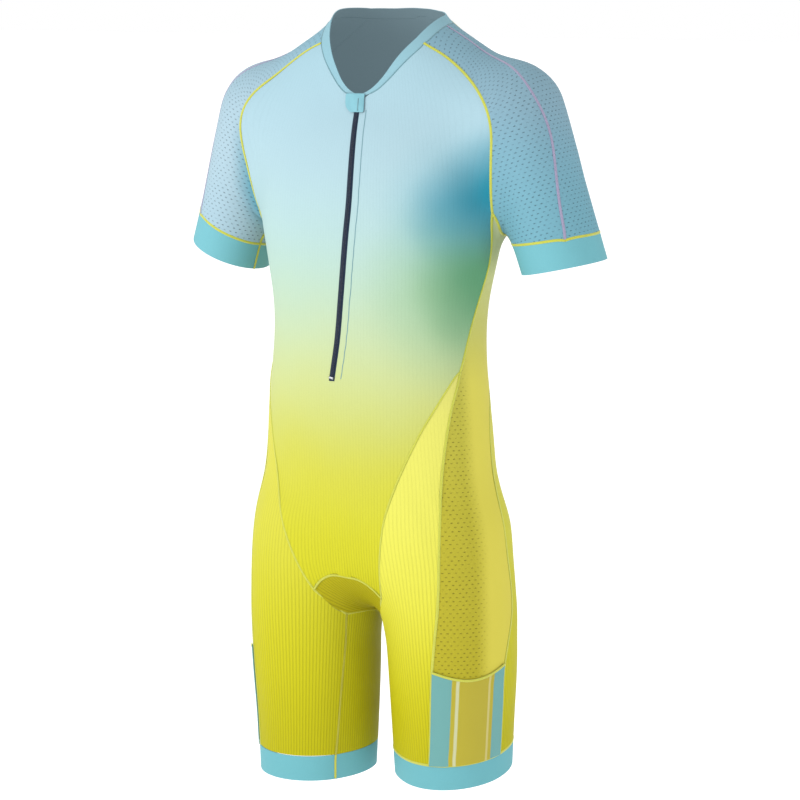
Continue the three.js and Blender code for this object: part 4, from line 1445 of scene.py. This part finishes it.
@dataclass
class Garment:
    """The sewn cloth: every panel, cuff and band, and the thread over their seams.

    frame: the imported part.
    levels: how many times the sewn surface is smoothed.
    reach: how far apart the pieces' points may be at a seam, in metres.
    armhole: the lowest that the shoulder's seam reaches down, in metres.
    pieces: the cloth pieces.
    sheet: the sewn surface, and normals its vertex normals.
    seams: for each pair of labels, the lines of vertex numbers between them.
    """

    frame: dict
    levels: int = 2
    reach: float = 0.85 * MM
    armhole: float = -0.1
    pieces: list[ClothPiece] = field(init=False)
    sheet: Sheet = field(init=False)
    normals: Array = field(init=False)
    seams: dict[tuple[int, int], list[Array]] = field(init=False)

    def __post_init__(self) -> None:
        """Sets out the cloth pieces and sews them."""
        self.pieces = [
            ClothPiece("front", "body_cloth", "body", Chart(0)),
            ClothPiece("back", "body_cloth", "back", BackChart(0)),
            ClothPiece("crotch_gusset", "leg_cloth", "gusset", Chart(0)),
            ClothPiece("collar", "body_cloth", "collar", Chart(0)),
        ]
        for name, side in SIDES.items():
            self.pieces += [
                ClothPiece(f"side_panel_{name}", "side_cloth", "side", LegChart(side, 90.0)),
                ClothPiece(f"leg_front_{name}", "leg_cloth", "leg_" + name, LegChart(side)),
                ClothPiece(f"leg_back_{name}", "leg_cloth", "leg_right", LegChart(side, 180.0)),
                ClothPiece(f"leg_band_{name}", "band_cloth", "band", LegChart(side)),
                ClothPiece(f"sleeve_front_{name}", "sleeve_cloth", "sleeve_" + name, SleeveChart(side, 90.0)),
                ClothPiece(f"sleeve_back_{name}", "sleeve_cloth", "sleeve_" + name, SleeveChart(side, -75.0)),
                ClothPiece(f"arm_cuff_{name}", "band_cloth", "band", SleeveChart(side)),
            ]
        for label, piece in enumerate(self.pieces):
            piece.label = label
        sewn = joined([piece.outer(self.frame) for piece in self.pieces], self.reach)
        self.sheet = sewn.smoothed(self.levels)
        self.normals = self.sheet.normals()
        self.seams = self.seam_lines()

    def seam_lines(self) -> dict[tuple[int, int], list[Array]]:
        """Finds where two pieces meet.

        Returns:
            For each pair of labels, the lines of vertex numbers between them.
        """
        edge, first, second = self.sheet.edges()
        sides = np.sort(np.stack([self.sheet.labels[first], self.sheet.labels[second]], 1), axis=1)
        apart = (second >= 0) & (sides[:, 0] != sides[:, 1])
        edge, sides = edge[apart], sides[apart]
        return {
            tuple(labels): [np.array(line) for line in chains(edge[(sides == labels).all(axis=1)])]
            for labels in np.unique(sides, axis=0).tolist()
        }

    def build_cloth(self, finishes: dict[str, Material]) -> None:
        """Makes each piece's shell and logs its area.

        Args:
            finishes: the materials by name.
        """
        for piece in self.pieces:
            built = piece.build(self.sheet, self.normals, finishes)
            area = self.sheet.area(piece.label)
            log.info("%s: %.4f square metres", piece.node, area)

    def build_seams(self, finishes: dict[str, Material]) -> None:
        """Lays thread over each seam.

        Args:
            finishes: the materials by name.
        """
        rules = {frozenset((rule.kind, other)): rule for rule in SEAMS for other in rule.others}
        for labels, lines in self.seams.items():
            first, second = (self.pieces[label] for label in labels)
            rule = rules.get(frozenset((first.kind, second.kind)))
            if rule is None:
                log.warning("no rule for the seam between %s and %s", first.node, second.node)
                continue
            for number, line in enumerate(lines):
                if len(line) < 4:
                    continue
                points = eased(self.sheet.points[line], rule.passes)
                stitch, title = rule.stitch, rule.name
                if stitch is Stitch.LILAC and points[:, 2].max() < self.armhole:
                    stitch, title = Stitch.YELLOW, "underarm"
                title = f"seam_{title}_{first.node}_{second.node}" + (f"_{number}" if number else "")
                lay = Ridge(rule.width, rule.height)
                lay.build(title, [(points, self.normals[line])], finishes["thread_" + stitch.value])

    def cross(self, tube: str, first: str, second: str, finishes: dict[str, Material]) -> None:
        """Carries the seam between two pieces on across the knitted tube below them.

        Args:
            tube: the cuff's or band's node.
            first: the node on one side of the seam.
            second: the node on its other side.
            finishes: the materials by name.
        """
        labels = {piece.node: piece.label for piece in self.pieces}
        ways = self.seams[pair(labels[first], labels[second])]
        points = self.sheet.points[min(ways, key=lambda way: self.sheet.points[way, 2].max())]
        last = points[-1] if points[0, 2] >= points[-1, 2] else points[0]
        piece = self.pieces[labels[tube]]
        sleeve = isinstance(piece.chart, SleeveChart)
        ahead = piece.chart.axis()[1] if sleeve else np.array([0.0, 0.0, -1.0])
        steps = np.linspace(0, CUTS[piece.kind][1] - 1 * MM, 16)[:, None]
        line = self.sheet.nearest(last + ahead * steps, piece.label)
        Ridge(3.0, 0.8).build(f"seam_across_{tube}", [line], finishes["thread_yellow"])


@dataclass
class Pocket:
    """A leg pocket, which lies on the side panel, with a binding along its open edge.

    frame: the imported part.
    name: the side's name, and side its sign.
    levels: how many times its surface is smoothed.
    band: how far above and below a height the rim is looked at, in metres.
    """

    frame: dict
    name: str
    side: float
    levels: int = 2
    band: float = 0.012

    def build(self, finishes: dict[str, Material]) -> None:
        """Makes the pocket and its binding.

        Args:
            finishes: the materials by name.
        """
        node = f"leg_pocket_{self.name}"
        piece = ClothPiece(node, "pocket_cloth", "pocket", LegChart(self.side, 45.0), 0.0)
        sheet = Sheet.single(*piece.outer(self.frame)).smoothed(self.levels)
        edge, _, second = sheet.edges()
        rim = np.unique(edge[second < 0])
        share = self.shares(piece.chart.angle(sheet.points / MM), sheet.points[:, 2], rim)
        normals = sheet.normals()
        built = piece.build(sheet, normals, finishes, numbers={"share": share})
        log.info("%s: %.5f square metres", node, sheet.area())
        sheet.area()
        lines = []
        for line in chains(edge[second < 0]):
            ring = np.array(line[:-1] if line[0] == line[-1] else line)
            top = ring[self.open_edge(sheet.points[ring, 2], share[ring])]
            lines.append((sheet.points[top], normals[top]))
        Ridge(3.2, 0.7).build(f"pocket_binding_{self.name}", lines, finishes["thread_yellow"])

    def shares(self, angle: Array, up: Array, rim: Array) -> Array:
        """Works out how far across the pocket each point is.

        Args:
            angle: each point's angle round the leg.
            up: each point's height.
            rim: the numbers of the points on the pocket's outline.

        Returns:
            0 at the pocket's front edge and 1 at its rear one.
        """
        middle = (angle.min() + angle.max()) / 2
        level = np.linspace(up.min(), up.max(), 12)
        edges = []
        for part, furthest in ((rim[angle[rim] < middle], np.min), (rim[angle[rim] >= middle], np.max)):
            found = [furthest(angle[part][np.abs(up[part] - z) < self.band]) for z in level]
            edges.append(np.interp(up, level, found))
        return (angle - edges[0]) / (edges[1] - edges[0])

    def open_edge(self, up: Array, share: Array) -> Array:
        """Picks the stretch of the rim between the pocket's two upper corners.

        Args:
            up: the heights of the rim's points, in order round the pocket.
            share: each point's share of the pocket's width.

        Returns:
            The places of the upper edge's points, in order.
        """
        sideways = 0.2  # What being off the corner's side costs, in metres for each width.
        one, two = (int(np.argmin(np.abs(share - target) * sideways - up)) for target in (0.0, 1.0))
        ways = [np.arange(a, a + (b - a) % len(up) + 1) % len(up) for a, b in ((one, two), (two, one))]
        return max(ways, key=lambda way: up[way].mean())


@dataclass(frozen=True)
class Path:
    """The zip's middle line.

    points: where the teeth are, in metres.
    up, ahead and beside: the directions out of the tape, down it and across it, at each point.
    """

    points: Array
    up: Array
    ahead: Array
    beside: Array


@dataclass
class Zip:
    """The front zip: tape, teeth, bottom stop, slider, covering flap and the row of stitches beside it.

    frame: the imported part.
    pitch: the spacing of the teeth on one side, in millimetres.
    turn: the rings of one tooth, each by its distance beside the middle, in millimetres, and its relative size.
    tooth: the half sizes of the largest ring along the zip and up, and how high its middle is, in millimetres.
    sides: how many points a ring has.
    stop: the half length of the bottom stop, in millimetres.
    fold: how far across the flap its fold runs, as a share.
    stitch_offset: how far the row of stitches runs from the teeth, in millimetres.
    """

    frame: dict
    pitch: float = 1.5
    turn: tuple[tuple[float, float], ...] = ((-0.35, 0.5), (0.5, 1.0), (1.5, 1.0), (2.3, 0.55))
    tooth: tuple[float, float, float] = (0.42, 0.5, 0.25)
    sides: int = 6
    stop: float = 3.1
    fold: float = 0.74
    stitch_offset: float = 12.5

    def build(self, garment: Garment, finishes: dict[str, Material]) -> None:
        """Makes the zip's parts.

        Args:
            garment: the sewn cloth.
            finishes: the materials by name.
        """
        path = self.build_tape(finishes)
        self.build_teeth(path, finishes["coil"])
        self.build_stop(path, finishes["metal"])
        self.build_slider(finishes["metal"])
        self.build_flap(finishes)
        start = len(path.points) // 40
        row = garment.sheet.nearest(path.points[start::4] + [self.stitch_offset * MM, 0, 0])
        Ridge(1.0, 0.35, 1.5).build("zip_topstitch", [row], finishes["thread_plain"])

    def build_tape(self, finishes: dict[str, Material]) -> Path:
        """Makes the tape as a shell over its CAD wall.

        Args:
            finishes: the materials by name.

        Returns:
            The line that the teeth follow, with a point for each of them.
        """
        piece = ClothPiece("zip", "zip_coil", "tape", Chart(0), 0.0)
        sheet = Sheet.single(*piece.outer(self.frame)).smoothed()
        piece.build(sheet, sheet.normals(), finishes, "tape")
        up, end, band = sheet.points[:, 2], 2 * MM, 8 * MM
        level = np.linspace(up.max() - end, up.min() + end, 40)
        line = np.array([sheet.points[np.abs(up - z) < band].mean(axis=0) for z in level])
        line[:, 2] = level
        lengths = lengths_of(line)
        where = np.linspace(0, lengths[-1], int(lengths[-1] / (self.pitch * MM / 2)))
        smooth = read_off(line, lengths, where)
        points, normals = sheet.nearest(smooth)
        ahead = unit(np.gradient(smooth, axis=0))
        return Path(points, normals, ahead, np.cross(ahead, normals))

    def build_teeth(self, path: Path, material: Material) -> None:
        """Makes the coil's turns, which reach over the middle from each side in turn.

        Args:
            path: the line that they follow.
            material: the coil's material.
        """
        along, tall, lift = self.tooth
        ring = [(math.cos(a), math.sin(a)) for a in np.linspace(0, 2 * math.pi, self.sides + 1)[:-1]]
        one = tube_faces(len(self.turn), self.sides)
        points, faces = [], []
        places = zip(path.points, path.up, path.ahead, path.beside)
        for number, (middle, up, ahead, beside) in enumerate(places):
            hand = 1 if number % 2 else -1
            faces.append(one[:, ::hand] + len(points))
            for reach, size in self.turn:
                centre = middle + beside * hand * reach * MM + up * lift * MM
                points += [centre + (ahead * c * along + up * s * tall) * size * MM for c, s in ring]
        make_object("zip_teeth", np.array(points), np.concatenate(faces), [material])

    def build_stop(self, path: Path, material: Material) -> None:
        """Makes the metal stop across the zip's lower end.

        Args:
            path: the line of the teeth.
            material: the stop's material.
        """
        middle, up, beside = path.points[-3], path.up[-3], path.beside[-3]
        line = np.array([middle + beside * k * self.stop * MM + up * 0.2 * MM for k in (-1, -0.5, 0, 0.5, 1)])
        piece = Ridge(3.4, 1.3, 1.0).build("zip_stop", [(line, np.tile(up, (5, 1)))], material)

    def build_slider(self, material: Material) -> None:
        """Makes the slider's rounded body over its CAD node.

        Args:
            material: the slider's material.
        """
        rows, columns, square, waist = 14, 20, 0.55, 0.18
        low, high = (np.array(corner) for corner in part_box("zip_slider"))
        up = np.repeat(np.arange(rows + 1) * math.pi / rows, columns)
        turn = np.tile(np.arange(columns) * 2 * math.pi / columns, rows + 1)
        ball = np.stack([np.sin(up) * np.cos(turn), np.sin(up) * np.sin(turn), np.cos(up)], 1)
        boxed = np.sign(ball) * np.abs(ball) ** square
        boxed[:, 0] *= 1 - waist * (1 - np.abs(boxed[:, 2]))
        faces = tube_faces(rows + 1, columns, capped=False)[:, ::-1]
        piece = make_object("zip_slider_body", (low + high) / 2 + boxed * (high - low) / 2, faces, [material])
        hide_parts("zip_slider")

    def build_flap(self, finishes: dict[str, Material]) -> None:
        """Makes the flap that folds over the slider, and its fold.

        Args:
            finishes: the materials by name.
        """
        sheet = Sheet.single(*read_wall(self.frame["nodes"]["zip_flap"])).smoothed(2)
        across, along = Chart(0).place(sheet.points / MM)
        piece = make_object(
            "zip_flap_cloth", sheet.points, sheet.faces, [finishes["flap"]],
            normals=sheet.normals()[sheet.faces].reshape(-1, 3), numbers={"across": across, "along": along},
        )
        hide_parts("zip_flap")
        low, size, ahead = sheet.points.min(axis=0), np.ptp(sheet.points, axis=0), 5 * MM
        steps = np.linspace(0.08, 0.92, 12)
        guess = [[low[0] + self.fold * size[0], low[1] - ahead, low[2] + step * size[2]] for step in steps]
        Ridge(1.4, 0.45).build("zip_flap_fold", [sheet.nearest(guess)], finishes["thread_plain"])
        area = sheet.area() / 2  # The wall has two faces.
        log.info("zip_flap: %.6f square metres", area)


# The studio


def aimed(item: bpy.types.Object, aim: Vector, azimuth: float, elevation: float, distance: float) -> None:
    """Stands an object off from a point and turns it to face it.

    Args:
        item: the camera or light.
        aim: the point.
        azimuth: the direction from the point to the object, in degrees.
        elevation: the same, upwards.
        distance: how far off it is, in metres.
    """
    a, e = math.radians(azimuth), math.radians(elevation)
    back = Vector((math.sin(a) * math.cos(e), -math.cos(a) * math.cos(e), math.sin(e)))
    item.location = aim + back * distance
    item.rotation_euler = (-back).to_track_quat("-Z", "Y").to_euler()


@dataclass(frozen=True)
class Lamp:
    """A soft rectangular light.

    azimuth, elevation and distance: where it stands from the suit, in degrees and metres.
    aim: the height that it faces.
    wide and tall: its size, in metres.
    power: in watts.
    """

    name: str
    azimuth: float
    elevation: float
    distance: float
    aim: float
    wide: float
    tall: float
    power: float

    def build(self) -> None:
        """Makes the light."""
        data = bpy.data.lights.new(self.name, "AREA")
        data.shape, data.energy = "RECTANGLE", self.power
        data.size, data.size_y = self.wide, self.tall
        aimed(placed(self.name, data), Vector((0, 0, self.aim)), self.azimuth, self.elevation, self.distance)


@dataclass(frozen=True)
class Studio:
    """The floor, the lights and the camera.

    azimuth and elevation: the camera's direction, in degrees.
    distance: from the camera to the suit, in metres.
    focal: the camera's focal length in photograph widths.
    aim: the point at the middle of the picture before it is slid sideways, and slide how far, in metres.
    floor: the floor's height, and spread half its width, in metres.
    lamps: the lights, the largest to the camera's left.
    """

    azimuth: float = 30.0
    elevation: float = 8.0
    distance: float = 3.9
    focal: float = 3197 / 800
    aim: tuple[float, float, float] = (0.0, 0.0, -0.463)
    slide: float = 0.018
    floor: float = -1.25
    spread: float = 40.0
    lamps: tuple[Lamp, ...] = (
        Lamp("key", -30.0, 18.0, 3.2, -0.60, 1.0, 2.4, 66.0),
        Lamp("fill", 78.0, 2.0, 2.0, -0.72, 0.8, 0.9, 9.0),
        Lamp("top", 10.0, 70.0, 2.4, -0.40, 1.2, 1.2, 6.0),
    )

    def build(self) -> None:
        """Makes the whole studio, under a white sky."""
        self.build_camera()
        self.build_floor()
        world = bpy.data.worlds.new("studio")
        world.use_nodes = True
        colour, strength = world.node_tree.nodes["Background"].inputs[:2]
        colour.default_value, strength.default_value = (1, 1, 1, 1), 1.0
        bpy.context.scene.world = world
        for lamp in self.lamps:
            lamp.build()
        bpy.context.scene.view_settings.view_transform = "Standard"

    def build_camera(self) -> None:
        """Makes the camera at the photograph's viewpoint."""
        data = bpy.data.cameras.new("camera")
        data.sensor_width, data.lens, data.clip_end = 36.0, 36.0 * self.focal, 100.0
        a = math.radians(self.azimuth)
        aim = Vector(self.aim) + Vector((math.cos(a), math.sin(a), 0)) * self.slide
        camera = placed("camera", data)
        aimed(camera, aim, self.azimuth, self.elevation, self.distance)
        bpy.context.scene.camera = camera

    def build_floor(self) -> None:
        """Makes the plain pale floor."""
        tree = Tree("floor")
        pale, white = (0.9, 0.9, 0.9, 1), (1, 1, 1, 1)
        tree.set(tree.shader, Base_Color=pale, Roughness=0.9, Emission_Color=white, Emission_Strength=0.3)
        mesh = bpy.data.meshes.new("floor")
        corners = ((-1, -1), (1, -1), (1, 1), (-1, 1))
        points = [(x * self.spread, y * self.spread, self.floor) for x, y in corners]
        mesh.from_pydata(points, [], [(0, 1, 2, 3)])
        mesh.materials.append(tree.material)
        placed("floor", mesh)


def main() -> None:
    """Builds the dressed suit in order and reports each piece."""
    logging.basicConfig(level=logging.INFO, format="%(message)s")
    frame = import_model()
    Studio().build()
    finishes = make_finishes()
    garment = Garment(frame)
    garment.build_cloth(finishes)
    garment.build_seams(finishes)
    for name, side in SIDES.items():
        garment.cross(f"arm_cuff_{name}", f"sleeve_front_{name}", f"sleeve_back_{name}", finishes)
        garment.cross(f"leg_band_{name}", f"leg_front_{name}", f"leg_back_{name}", finishes)
        Pocket(frame, name, side).build(finishes)
    Zip(frame).build(garment, finishes)


if __name__ == "__main__":
    main()
